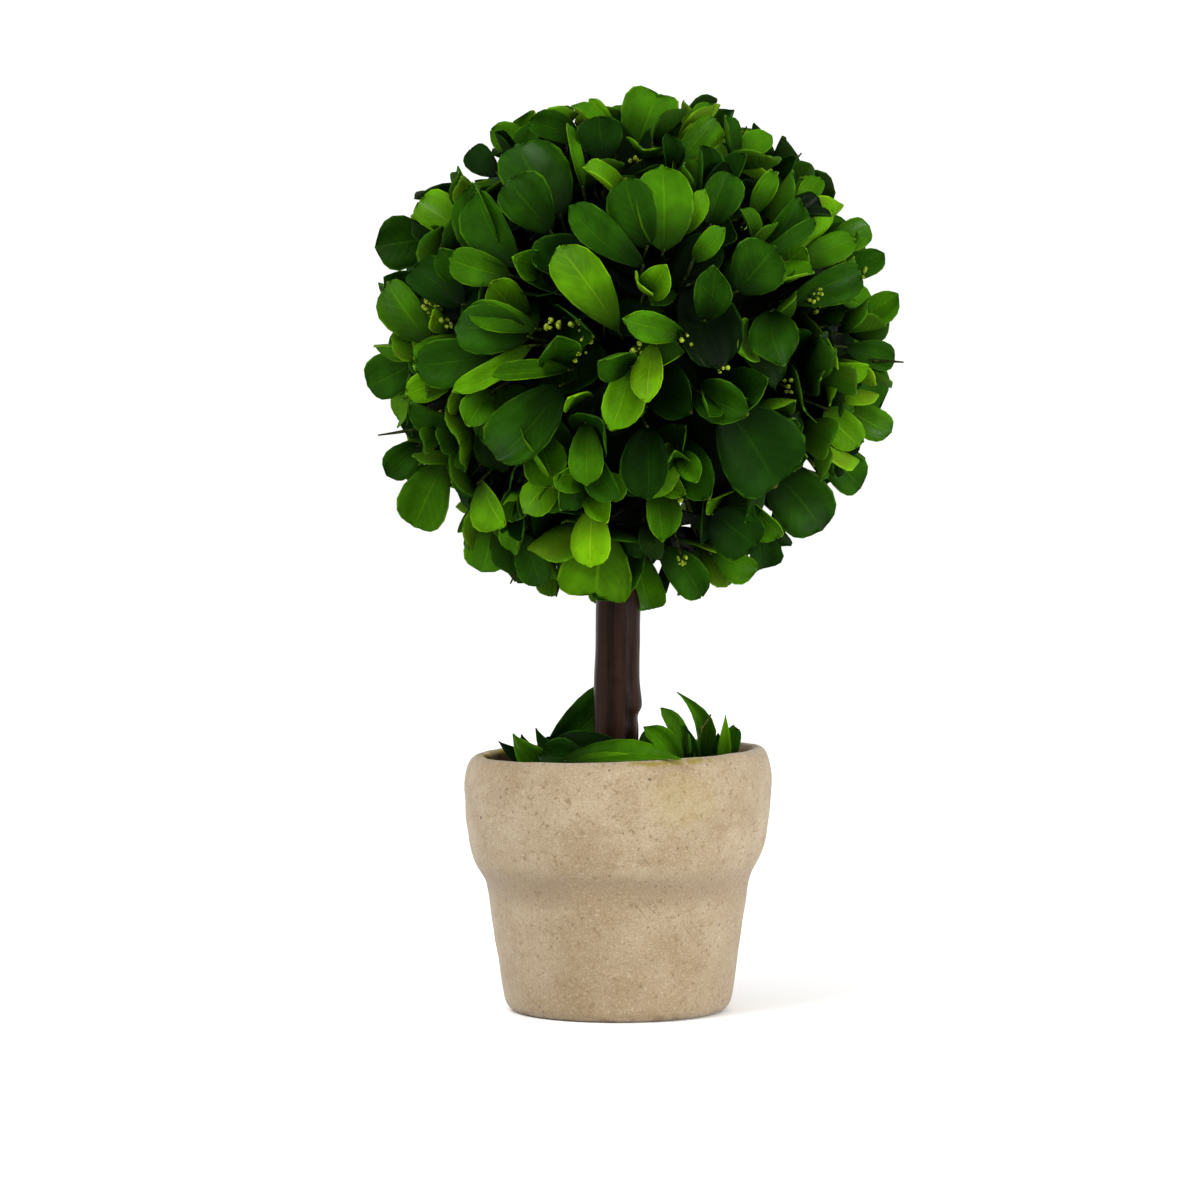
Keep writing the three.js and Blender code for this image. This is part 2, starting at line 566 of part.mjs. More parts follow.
function makeFootLeaves(trunkSpace) {
  const high = LITTER_BOTTOM + LITTER_RISE;
  const ring = [
    [LITTER_INNER, LITTER_BOTTOM],
    [LITTER_OUTER, LITTER_BOTTOM],
    [LITTER_OUTER - LITTER_EDGE, high - LITTER_EDGE_DROP],
    [LITTER_INNER + LITTER_SLOPE, high],
    [LITTER_INNER, LITTER_BOTTOM],
  ].map(([radius, z]) => new THREE.Vector2(radius, z));
  const litter = solidOf(deform(turned(ring, LITTER_SIDES), slopeRim));
  return leafyMass('foot_leaves', litter, growFoot(), new THREE.Vector3(), trunkSpace, FOOT_LEAF);
}

// ---------------------------------------------------------------- assembly

const trunkSpace = solidOf(trunkShape(GAP));
const group = new THREE.Group();
group.add(makePot(), makeFill(trunkSpace), makeTrunk());
group.add(makeLeafBall(trunkSpace), makeFootLeaves(trunkSpace));
export default group;
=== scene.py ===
"""A small box topiary: a clipped ball of box leaves on a bare stick, standing in a clay pot.

Metres in Blender, Z up, the front towards -Y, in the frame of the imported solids. The sizes in
the classes are in millimetres from the middle of the pot's underside, and a mesh is scaled once,
where it is made. Every surface is worked out as whole numpy arrays.
"""
import enum
import functools
import logging
import math
from dataclasses import dataclass, field
from typing import Any, Callable, Sequence

import bpy
import numpy as np
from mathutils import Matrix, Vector


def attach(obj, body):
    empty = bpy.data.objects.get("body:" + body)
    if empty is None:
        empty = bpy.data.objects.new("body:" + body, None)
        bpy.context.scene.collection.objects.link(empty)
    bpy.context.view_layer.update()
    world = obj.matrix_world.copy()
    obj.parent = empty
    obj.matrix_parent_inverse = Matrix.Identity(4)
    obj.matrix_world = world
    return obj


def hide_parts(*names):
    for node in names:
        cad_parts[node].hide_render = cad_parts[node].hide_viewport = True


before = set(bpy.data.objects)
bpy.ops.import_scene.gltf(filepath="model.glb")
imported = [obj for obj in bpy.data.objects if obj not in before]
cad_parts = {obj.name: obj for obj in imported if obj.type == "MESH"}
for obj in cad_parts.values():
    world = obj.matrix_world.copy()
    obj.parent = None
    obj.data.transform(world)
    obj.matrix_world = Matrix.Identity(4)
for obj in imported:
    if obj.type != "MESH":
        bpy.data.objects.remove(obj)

Array = np.ndarray
Rgb = tuple[int, int, int]
Span = tuple[float, float]
Point = tuple[float, float, float]
Table = tuple[tuple[float, ...], ...]
Materials = Sequence[bpy.types.Material]
MM = 0.001
BODY = "root"
BALL_CENTRE = (2.0, 0.0, 109.5)
log = logging.getLogger("topiary")


# ---------------------------------------------------------------- small maths

def unit(vectors: Array) -> Array:
    """Vectors divided by their own length."""
    return vectors / np.linalg.norm(vectors, axis=-1, keepdims=True)


def smooth(values: Array, low: float, high: float) -> Array:
    """Zero below low, one above high, and an S-shaped run 3t^2 - 2t^3 between."""
    share = np.clip((values - low) / (high - low), 0.0, 1.0)
    return share * share * (3.0 - 2.0 * share)


def swung(vector: Array, axis: Array, degrees: float) -> Array:
    """A vector turned round a unit axis: v cos + (axis x v) sin + axis (axis . v)(1 - cos).

    Args:
        vector: what is turned.
        axis: the unit axis.
        degrees: how far, anticlockwise seen from the axis's tip.

    Returns:
        The turned vector.
    """
    turn = math.radians(degrees)
    across = np.cross(axis, vector) * math.sin(turn)
    return vector * math.cos(turn) + across + axis * (axis @ vector) * (1.0 - math.cos(turn))


def turns(count: int) -> Array:
    """Angles in radians, evenly spaced round a full turn."""
    return np.linspace(0.0, 2.0 * math.pi, count, endpoint=False)


def square_to(heads: Array) -> tuple[Array, Array]:
    """Two unit directions for each of many heads, square to it and to each other."""
    helper = np.where(np.abs(heads[:, 2:3]) < 0.9, [[0.0, 0.0, 1.0]], [[1.0, 0.0, 0.0]])
    side = unit(np.cross(helper, heads))
    return side, np.cross(heads, side)


def spiral(count: int) -> Array:
    """Directions spaced evenly over a ball: equal steps of height, each a golden angle round.

    Args:
        count: how many directions.

    Returns:
        Unit vectors, one row each, from the top down.
    """
    step = np.arange(count)
    up = 1.0 - (2.0 * step + 1.0) / count
    ring = np.sqrt(1.0 - up * up)
    turn = step * math.pi * (3.0 - math.sqrt(5.0))
    return np.stack([np.cos(turn) * ring, np.sin(turn) * ring, up], axis=1)


def spun(outline: Array, turn: Array) -> Array:
    """Rows of radius and height carried round the axis: (r cos t, r sin t, z) at every turn t."""
    radius, height = outline[:, :1], outline[:, 1:]
    return np.stack([radius * np.cos(turn), radius * np.sin(turn), height + 0.0 * turn], axis=-1)


def bezier(corners: Sequence[Span], count: int) -> Array:
    """Points on a Bezier curve: each corner weighted by C(n, k) t^k (1 - t)^(n - k).

    Args:
        corners: two corners for a straight run, three or four for a curve.
        count: how many points; the last corner's own point is left to the next run.

    Returns:
        The points as rows of radius and height.
    """
    share = np.linspace(0.0, 1.0, count, endpoint=False)[:, None]
    top = len(corners) - 1
    weights = [math.comb(top, k) * share ** k * (1.0 - share) ** (top - k) for k in range(top + 1)]
    return sum(weight * np.array(corner) for weight, corner in zip(weights, corners))


class Draws:
    """Repeatable draws between 0 and 1 from a linear congruence, the same in any language."""

    def __init__(self, seed: int) -> None:
        """Starts the run of draws at a seed."""
        self.state = seed

    def next(self) -> float:
        """The next draw: state x 1664525 + 1013904223, kept to 32 bits."""
        self.state = (self.state * 1664525 + 1013904223) % 4294967296
        return self.state / 4294967296

    def between(self, low: float, high: float) -> float:
        """A draw between two limits."""
        return low + (high - low) * self.next()


@dataclass(frozen=True)
class Relief:
    """Repeatable unevenness: a sum of sine waves through space in seeded directions."""

    seed: int
    shortest: float
    longest: float
    waves: int = 14

    def at(self, points: Array) -> Array:
        """The relief at points, about -1 to 1; a longer wave stands higher in proportion.

        Args:
            points: rows of x, y, z in millimetres, in any grid shape.

        Returns:
            One height for each point.
        """
        rng = np.random.default_rng(self.seed)
        lengths = np.geomspace(self.shortest, self.longest, self.waves)
        heads = unit(rng.normal(size=(self.waves, 3))) / lengths[:, None] * 2.0 * math.pi
        phases = rng.uniform(0.0, 2.0 * math.pi, self.waves)
        return np.sin(points @ heads.T + phases) @ (lengths / lengths.sum()) * 2.0


# ---------------------------------------------------------------- meshes

@dataclass
class Shell:
    """Points in millimetres with faces of three or four corners, and what is marked on them."""

    points: Array
    faces: list[Array]
    slots: list[Array]
    flat: list[Array]
    marks: dict[str, Array] = field(default_factory=dict)

    @staticmethod
    def grid(points: Array, wrap: bool = True, caps: bool = False) -> "Shell":
        """Faces over a two-parameter grid of points.

        Args:
            points: an array of rows x columns x 3; the rows run up, the columns run round.
            wrap: whether the last column joins the first.
            caps: whether a fan to a pole closes the first and the last row.

        Returns:
            The shell, in the first material slot and shaded smoothly. It faces outwards where
            the columns run anticlockwise seen from above.
        """
        rows, columns = points.shape[:2]
        ids = np.arange(rows * columns).reshape(rows, columns)
        if wrap:
            ids = np.concatenate([ids, ids[:, :1]], axis=1)
        low, high = ids[:-1], ids[1:]
        quads = np.stack([low[:, :-1], low[:, 1:], high[:, 1:], high[:, :-1]], axis=-1).reshape(-1, 4)
        flat_points = points.reshape(-1, 3)
        faces = [quads]
        if caps:
            poles = np.stack([points[0].mean(axis=0), points[-1].mean(axis=0)])
            pole = rows * columns
            first, last = ids[0], ids[-1]
            under = np.stack([first[1:], first[:-1], np.full(len(first) - 1, pole)], axis=1)
            over = np.stack([last[:-1], last[1:], np.full(len(last) - 1, pole + 1)], axis=1)
            faces += [under, over]
            flat_points = np.concatenate([flat_points, poles])
        plain = [[np.zeros(len(part), kind) for part in faces] for kind in (int, bool)]
        return Shell(flat_points, faces, *plain)

    @staticmethod
    def joined(shells: Sequence["Shell"]) -> "Shell":
        """Several shells as one; their marks must have the same names."""
        starts = np.cumsum([0] + [len(shell.points) for shell in shells[:-1]])
        faces = [part + start for shell, start in zip(shells, starts) for part in shell.faces]
        slots = [part for shell in shells for part in shell.slots]
        flat = [part for shell in shells for part in shell.flat]
        marks = {name: np.concatenate([shell.marks[name] for shell in shells]) for name in shells[0].marks}
        return Shell(np.concatenate([shell.points for shell in shells]), faces, slots, flat, marks)

    def piece(self, name: str, node: str, slot: str, materials: Materials) -> None:
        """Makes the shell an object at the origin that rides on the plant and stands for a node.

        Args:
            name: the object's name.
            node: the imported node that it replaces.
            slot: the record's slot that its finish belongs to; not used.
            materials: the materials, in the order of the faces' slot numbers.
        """
        mesh = bpy.data.meshes.new(name)
        mesh.vertices.add(len(self.points))
        mesh.vertices.foreach_set("co", (self.points * MM).astype(np.float32).ravel())
        corners = np.concatenate([part.ravel() for part in self.faces]).astype(np.int32)
        sizes = np.concatenate([np.full(len(part), part.shape[1]) for part in self.faces])
        mesh.loops.add(len(corners))
        mesh.loops.foreach_set("vertex_index", corners)
        mesh.polygons.add(len(sizes))
        mesh.polygons.foreach_set("loop_start", (np.cumsum(sizes) - sizes).astype(np.int32))
        mesh.polygons.foreach_set("material_index", np.concatenate(self.slots).astype(np.int32))
        mesh.polygons.foreach_set("use_smooth", ~np.concatenate(self.flat))
        for mark, values in self.marks.items():
            layer = mesh.attributes.new(mark, "FLOAT_VECTOR", "POINT")
            layer.data.foreach_set("vector", values.astype(np.float32).ravel())
        mesh.update(calc_edges=True)
        mesh.validate()
        for material in materials:
            mesh.materials.append(material)
        piece = bpy.data.objects.new(name, mesh)
        bpy.context.scene.collection.objects.link(piece)
        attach(piece, BODY)
        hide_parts(node)
        log.info("%s: %d triangles for %s", name, int((sizes - 2).sum()), node)


# ---------------------------------------------------------------- shader graphs

def paint(tint: Rgb, share: float = 1.0) -> tuple[float, ...]:
    """A screen colour in linear light: (c + 0.055)/1.055 to the power 2.4, times a share.

    Args:
        tint: red, green and blue from 0 to 255.
        share: how bright against the tint itself.

    Returns:
        Linear red, green, blue and an alpha of 1.
    """
    parts = [value / 255.0 for value in tint]
    light = [part / 12.92 if part <= 0.04045 else ((part + 0.055) / 1.055) ** 2.4 for part in parts]
    return (*(min(1.0, part * share) for part in light), 1.0)


def colour_of(value: Any) -> Any:
    """A wire or a linear colour as it is, or three whole numbers turned to linear light."""
    return paint(value) if isinstance(value, tuple) and len(value) == 3 else value


def _operator(operation: str, turned: bool = False) -> Callable[..., "Wire"]:
    """A method of Wire that adds a Math node.

    Args:
        operation: the node's operation.
        turned: whether the wire's partner comes first.

    Returns:
        The method, which takes the partner where the operation has one.
    """
    def method(wire: "Wire", *partner: Any) -> "Wire":
        """The Math node's output."""
        terms = (*partner, wire) if turned else (wire, *partner)
        return wire.graph.node("ShaderNodeMath", {"operation": operation}, dict(enumerate(terms)))
    return method


class Wire:
    """One output of a shader graph. Arithmetic on it adds Math nodes."""

    __add__ = __radd__ = _operator("ADD")
    __sub__ = _operator("SUBTRACT")
    __rsub__ = _operator("SUBTRACT", turned=True)
    __mul__ = __rmul__ = _operator("MULTIPLY")
    __truediv__ = _operator("DIVIDE")
    __pow__ = _operator("POWER")
    __abs__ = _operator("ABSOLUTE")
    most = _operator("MAXIMUM")
    wave = _operator("SINE")

    def __init__(self, graph: "Graph", socket: bpy.types.NodeSocket) -> None:
        """Holds a socket and the graph that it belongs to."""
        self.graph = graph
        self.socket = socket

    def step(self, low: float, high: float) -> "Wire":
        """A smooth step from low to high, turned round where low is the larger.

        Args:
            low: where the step is still 0.
            high: where it is 1.

        Returns:
            The step's wire.
        """
        settings = {"interpolation_type": "SMOOTHSTEP"}
        start, end, first, last = (low, high, 0.0, 1.0) if low < high else (high, low, 1.0, 0.0)
        return self.graph.node("ShaderNodeMapRange", settings, {0: self, 1: start, 2: end, 3: first, 4: last})


class Graph:
    """The nodes of one material, ending in one Principled shader, or those of the surround."""

    def __init__(self, name: str, owner: bpy.types.World | None = None) -> None:
        """Empties the graph of its owner, or of a new material where it is given none."""
        self.material = owner or bpy.data.materials.new(name)
        self.material.use_nodes = True
        self.tree = self.material.node_tree
        self.tree.nodes.clear()

    def node(self, kind: str, settings: dict[str, Any] | None = None,
             sockets: dict[Any, Any] | None = None, output: Any = 0) -> Wire:
        """Adds a node.

        Args:
            kind: the node's type name.
            settings: properties, set before the sockets.
            sockets: values, or wires to link, by the socket's name or number.
            output: which output is wanted.

        Returns:
            The wanted output.
        """
        node = self.tree.nodes.new(kind)
        for key, value in (settings or {}).items():
            setattr(node, key, value)
        for key, value in (sockets or {}).items():
            if isinstance(value, Wire):
                self.tree.links.new(value.socket, node.inputs[key])
            else:
                node.inputs[key].default_value = value
        return Wire(self, None if output is None else node.outputs[output])

    def place(self, stretch: Point = (1.0, 1.0, 1.0)) -> Wire:
        """The point on the object in millimetres, each direction times a stretch."""
        point = self.node("ShaderNodeTexCoord", output="Object")
        scale = tuple(share / MM for share in stretch)
        return self.node("ShaderNodeMapping", {"vector_type": "POINT"}, {"Vector": point, "Scale": scale})

    def turned_place(self, turn: Point, stretch: Point) -> Wire:
        """The point on the object in millimetres, turned by radians about each axis and stretched."""
        size = tuple(1.0 / share for share in stretch)
        sockets = {"Vector": self.place(), "Rotation": turn, "Scale": size}
        return self.node("ShaderNodeMapping", {"vector_type": "TEXTURE"}, sockets)

    def noise(self, place: Wire, size: float, detail: float = 3.0, rough: float = 0.5) -> Wire:
        """Cloudy noise with patches of about a size in millimetres, from 0 to 1."""
        sockets = {"Vector": place, "Scale": 1.0 / size, "Detail": detail, "Roughness": rough}
        return self.node("ShaderNodeTexNoise", {}, sockets)

    def cells(self, place: Wire, size: float) -> Wire:
        """How far the nearest of scattered points lies, for points about a size apart."""
        return self.node("ShaderNodeTexVoronoi", {}, {"Vector": place, "Scale": 1.0 / size})

    def parts(self, vector: Wire) -> tuple[Wire, Wire, Wire]:
        """The three numbers of a vector."""
        split = self.node("ShaderNodeSeparateXYZ", {}, {0: vector})
        outputs = split.socket.node.outputs
        return tuple(Wire(self, outputs[k]) for k in range(3))

    def mark(self, name: str) -> tuple[Wire, Wire, Wire]:
        """The three numbers that a mesh carries at its points under a name."""
        return self.parts(self.node("ShaderNodeAttribute", {"attribute_name": name}, output="Vector"))

    def mix(self, share: Any, first: Any, second: Any) -> Wire:
        """A colour between two: the first where the share is 0, the second where it is 1."""
        sockets = {0: share, 6: colour_of(first), 7: colour_of(second)}
        return self.node("ShaderNodeMix", {"data_type": "RGBA"}, sockets, output=2)

    def layers(self, colour: Any, *laid: tuple[Any, Any]) -> Wire:
        """A colour with others laid over it in turn, each given as its share and itself."""
        return functools.reduce(lambda under, over: self.mix(over[0], under, over[1]), laid, colour)

    def bump(self, height: Wire, distance: float) -> Wire:
        """A normal from a height that runs from 0 to 1 over a distance in millimetres."""
        sockets = {"Strength": 1.0, "Distance": distance * MM, "Height": height}
        return self.node("ShaderNodeBump", {}, sockets)

    def finish(self, **sockets: Any) -> bpy.types.Material:
        """Ends the graph in a Principled shader, its sockets given by name with _ for a space."""
        named = {key.replace("_", " "): value for key, value in sockets.items()}
        shader = self.node("ShaderNodeBsdfPrincipled", {}, named)
        self.node("ShaderNodeOutputMaterial", {}, {"Surface": shader}, output=None)
        return self.material


# ---------------------------------------------------------------- finishes

class Tone(enum.IntEnum):
    """The greens that the leaves are dealt from, darkest first."""

    DEEP = 0
    DARK = 1
    MOSS = 2
    LEAF = 3
    FRESH = 4
    LIME = 5


@dataclass(frozen=True)
class LeafFinish:
    """Preserved box leaf: a soft waxy green with a pale midrib, faint veins and a thin light edge."""

    name: str
    blade: Rgb
    edge: Rgb
    under: Rgb
    rib: float
    roughness: float = 0.42
    bump: float = 0.12
    vein_slant: float = 0.34
    vein_pitch: float = 46.0
    # Painted shade: how far from the ball's middle a leaf is still painted fully lit, and where it is painted
    # fully in shade.
    painted_shade_reach: Span = (41.2, 32.6)
    dry: Rgb = (92, 70, 30)

    def made(self) -> bpy.types.Material:
        """The material, from the marks blade (along, across, under) and lot (shade, age, seed).

        A leaf is painted darkest at its foot, and the deeper it grows in the ball, as painted shade.
        """
        graph = Graph(self.name)
        along, across, under = graph.mark("blade")
        shade, age, seed = graph.mark("lot")
        off = abs(across)
        place = graph.place()
        cloud = graph.noise(place, 4.5, 2.0)
        grain = graph.noise(place, 0.5, 2.0)
        veins = ((along - off * self.vein_slant) * self.vein_pitch).wave() * 0.5 + 0.5
        veins = veins ** 5.0 * off.step(0.95, 0.5)
        rib = off.step(0.075, 0.02) * along.step(1.0, 0.72)
        margin = off.step(0.9, 0.99).most(along.step(0.985, 1.0))
        dry = along.step(0.965, 0.995) * off.step(0.45, 0.1) * age.step(0.84, 0.9)
        gloss = seed.step(0.6, 0.95) * along.step(0.5, 0.95) * off.step(1.0, 0.3) * (1.0 - under)
        x, y, z = graph.parts(place)
        x, z = x - BALL_CENTRE[0], z - BALL_CENTRE[2]
        reach = (x * x + y * y + z * z) ** 0.5
        # Painted shade: the deeper in the ball, the darker, where the gaps between leaves lie in shade.
        painted_depth_shade = reach.step(*self.painted_shade_reach)
        light, deep, foot = (paint(self.blade, share) for share in (1.4, 0.55, 0.1))
        below = graph.mix(cloud.step(0.3, 0.8), self.under, light)
        broken = graph.noise(place, 2.6).step(0.35, 0.62)
        colour = graph.layers(
            deep,
            (cloud.step(0.35, 0.75) * 0.55 + shade * 0.45, light),
            (veins * 0.14, light),
            (rib * self.rib, self.edge),
            (under, below),
            (margin * broken * 0.65, self.edge),
            (dry * 0.7, self.dry),
            # Painted shade: a near-black green laid over each leaf's foot and over the leaves deep in the
            # ball.
            (along.step(0.7, 0.0).most(painted_depth_shade) * 0.95, foot),
        )
        height = grain * 0.25 + cloud * 0.5 - rib * 0.6 - veins * 0.25
        rough = grain * 0.12 + seed * 0.1 + self.roughness + under * 0.1
        return graph.finish(Base_Color=colour, Roughness=rough, Normal=graph.bump(height, self.bump),
                            Specular_IOR_Level=0.02, Coat_Weight=gloss * 0.16, Coat_Roughness=0.26)


LEAF_FINISHES = {
    Tone.DEEP: LeafFinish("box_leaf_deep", (7, 24, 2), (30, 66, 6), (18, 36, 5), 0.1),
    Tone.DARK: LeafFinish("box_leaf_dark", (15, 43, 2), (46, 90, 7), (30, 56, 6), 0.12),
    Tone.MOSS: LeafFinish("box_leaf_moss", (29, 66, 3), (68, 116, 10), (46, 74, 8), 0.15),
    Tone.LEAF: LeafFinish("box_leaf_mid", (50, 95, 3), (96, 146, 13), (64, 92, 10), 0.22),
    Tone.FRESH: LeafFinish("box_leaf_fresh", (72, 121, 4), (118, 168, 18), (80, 108, 12), 0.3),
    Tone.LIME: LeafFinish("box_leaf_lime", (90, 138, 4), (140, 182, 26), (100, 128, 18), 0.4),
}


@dataclass(frozen=True)
class ClayFinish:
    """Dry hand-thrown clay: beige, grainy, pitted, with specks, faint stains and rubbed edges."""

    name: str = "dry_clay"
    dust: float = 0.2
    shine: float = 0.2
    bump: float = 0.22
    # Radii and heights between which the lip's stain, and the inside's soil stain and painted shade, set in.
    lip_radii: Span = (24.9, 23.2)
    lip_heights: Span = (41.9, 42.7)
    well_radii: Span = (22.4, 21.7)
    well_heights: Span = (34.0, 38.0)
    # The yellow cast on the band: its middle across and up, and its half width and height.
    cast_place: Span = (10.3, 36.8)
    cast_size: Span = (6.5, 5.0)
    body: Rgb = (152, 136, 110)
    pale: Rgb = (172, 158, 134)
    brown: Rgb = (124, 103, 74)
    moss_and_reflection: Rgb = (118, 104, 10)
    dirt_and_shade: Rgb = (112, 94, 72)
    inside_stain_and_shade: Rgb = (44, 36, 18)
    yellow: Rgb = (150, 136, 74)
    rubbed: Rgb = (98, 70, 40)
    pit: Rgb = (100, 78, 56)
    scratched: Rgb = (96, 80, 62)
    speck: Rgb = (62, 52, 46)

    def made(self) -> bpy.types.Material:
        """The material, in millimetres from the middle of the pot's underside."""
        graph = Graph(self.name)
        place = graph.place()
        x, y, z = graph.parts(place)
        patches = graph.noise(place, 9.0, 4.0, 0.6)
        smears = graph.noise(graph.place((0.5, 0.5, 1.6)), 3.2, 4.0, 0.65)
        grain = graph.noise(place, 0.42, 3.0, 0.7)
        flecks = graph.noise(place, 0.95, 3.0, 0.6)
        sand = graph.noise(place, 0.22, 2.0, 0.7)
        pits = graph.cells(place, 1.7).step(0.17, 0.05) * graph.noise(place, 5.0).step(0.5, 0.64)
        specks = graph.cells(graph.place((1.0, 1.0, 1.3)), 8.5).step(0.06, 0.03)
        hairs = graph.noise(graph.turned_place((0.0, 0.9, 0.5), (0.1, 1.0, 1.0)), 1.6, 1.0, 0.4)
        scratch = abs(hairs - 0.5).step(0.014, 0.002) * graph.noise(place, 6.0).step(0.6, 0.68)
        ring = (x * x + y * y) ** 0.5
        lip = (z - x * Slope.rise).step(*self.lip_heights)
        inner = (ring.step(*self.lip_radii) * z.step(40.0, 42.0)).most(lip)
        right = x.step(0.0, 4.0) * x.step(18.0, 12.0) * y.step(0.0, -10.0)
        left = x.step(-9.0, -14.0) * ring.step(24.0, 23.0)
        well = ring.step(*self.well_radii) * z.step(*self.well_heights)
        across, up = ((part - middle) / half
                      for part, middle, half in zip((x, z), self.cast_place, self.cast_size))
        colour = graph.layers(
            graph.mix(patches.step(0.3, 0.72), self.brown, self.pale),
            (0.55, self.body),
            (sand.step(0.58, 0.4) * 0.5, self.brown),
            (smears.step(0.52, 0.72) * 0.45, self.brown),
            # Painted shade: darker towards the bottom.
            (z.step(26.0, 2.0) * 0.3, self.brown),
            (grain.step(0.5, 0.7) * 0.5, self.pale),
            (flecks.step(0.44, 0.3) * 0.85, self.brown),
            (flecks.step(0.6, 0.72) * 0.4, self.pale),
            # Dirt and painted shade in the step below the band, then the stain that the leaves left on the
            # lip.
            (z.step(17.5, 21.5) * z.step(26.0, 22.5) * patches.step(0.25, 0.6) * 0.5, self.dirt_and_shade),
            # On the left, the lip's stain is partly a painted reflection of the green leaf litter.
            ((right + left) * inner * graph.noise(place, 1.3).step(0.38, 0.56) * 0.9, self.moss_and_reflection),
            # The inside on the left, darkened partly by a soil stain and partly by painted shade, a yellow
            # cast below the stain, and the rubbed foot.
            (well * x.step(16.0, 4.0) * 0.9, self.inside_stain_and_shade),
            ((across * across + up * up).step(1.3, 0.1) * y.step(0.0, -12.0) * 0.22, self.yellow),
            (z.step(1.6, 0.3) * graph.noise(place, 3.0).step(0.48, 0.62) * 0.6, self.rubbed),
            (pits * 0.5, self.pit),
            (scratch * 0.55, self.scratched),
            (specks * 0.85, self.speck),
        )
        height = grain * 0.5 + sand * 0.3 + flecks * 0.4 + smears * 0.5
        height = height - pits * 1.2 - specks * 0.6 - scratch * 0.6
        rough = grain * 0.08 + 0.88
        return graph.finish(Base_Color=colour, Roughness=rough, Normal=graph.bump(height, self.bump),
                            Specular_IOR_Level=self.shine, Sheen_Weight=self.dust, Sheen_Roughness=0.5)


@dataclass(frozen=True)
class BarkFinish:
    """A smooth dark stick: reddish brown, with long fine streaks and a soft lengthwise gloss."""

    dark: Rgb = (15, 6, 4)
    warm: Rgb = (44, 26, 18)
    worn: Rgb = (60, 44, 38)

    def made(self) -> bpy.types.Material:
        """The material; its patterns are drawn out along the stick."""
        graph = Graph("stick_bark")
        long_place = graph.place((1.0, 1.0, 0.05))
        streaks = graph.noise(long_place, 1.7, 3.0, 0.5)
        hairs = graph.noise(long_place, 0.22, 2.0, 0.6)
        place = graph.place()
        knots = graph.noise(place, 3.0, 3.0)
        rings = graph.noise(graph.place((0.25, 0.25, 1.6)), 1.3, 2.0)
        colour = graph.layers(
            self.dark,
            (streaks.step(0.34, 0.68), self.warm),
            (hairs.step(0.6, 0.75) * 0.25, self.worn),
            (knots.step(0.6, 0.75) * 0.5, self.dark),
        )
        height = streaks * 0.8 + hairs * 0.35 + rings * 0.25
        rough = hairs * 0.12 + knots * 0.1 + 0.2
        return graph.finish(Base_Color=colour, Roughness=rough, Normal=graph.bump(height, 0.12),
                            Specular_IOR_Level=0.06)


@dataclass(frozen=True)
class CrumbFinish:
    """A dull, rough, crumbly stuff in two colours, for the fill, the litter and the ball's core."""

    name: str
    dark: Rgb
    light: Rgb
    size: float

    def made(self) -> bpy.types.Material:
        """The material, with crumbs of about its size in millimetres."""
        graph = Graph(self.name)
        place = graph.place()
        crumbs = graph.cells(place, self.size)
        dust = graph.noise(place, self.size * 0.4, 4.0, 0.65)
        patches = graph.noise(place, self.size * 4.0)
        colour = graph.layers(
            self.dark,
            (dust.step(0.35, 0.7), self.light),
            (patches.step(0.45, 0.7) * 0.6, self.dark),
            (crumbs.step(0.45, 0.7) * 0.6, self.dark),
        )
        height = dust * 0.6 - crumbs * 0.8
        return graph.finish(Base_Color=colour, Roughness=dust * 0.1 + 0.88,
                            Normal=graph.bump(height, self.size * 0.5), Specular_IOR_Level=0.02)


@dataclass(frozen=True)
class StemFinish:
    """A thin green or yellowish stem or bud, streaked along and speckled."""

    name: str
    dark: Rgb
    light: Rgb

    def made(self) -> bpy.types.Material:
        """The material."""
        graph = Graph(self.name)
        place = graph.place()
        speckle = graph.noise(place, 0.45, 3.0, 0.6)
        patches = graph.noise(place, 2.2)
        colour = graph.layers(self.dark, (speckle.step(0.36, 0.66), self.light),
                              (patches.step(0.5, 0.7) * 0.5, self.dark))
        return graph.finish(Base_Color=colour, Roughness=speckle * 0.15 + 0.55,
                            Normal=graph.bump(speckle, 0.15), Specular_IOR_Level=0.05)


# ---------------------------------------------------------------- leaves

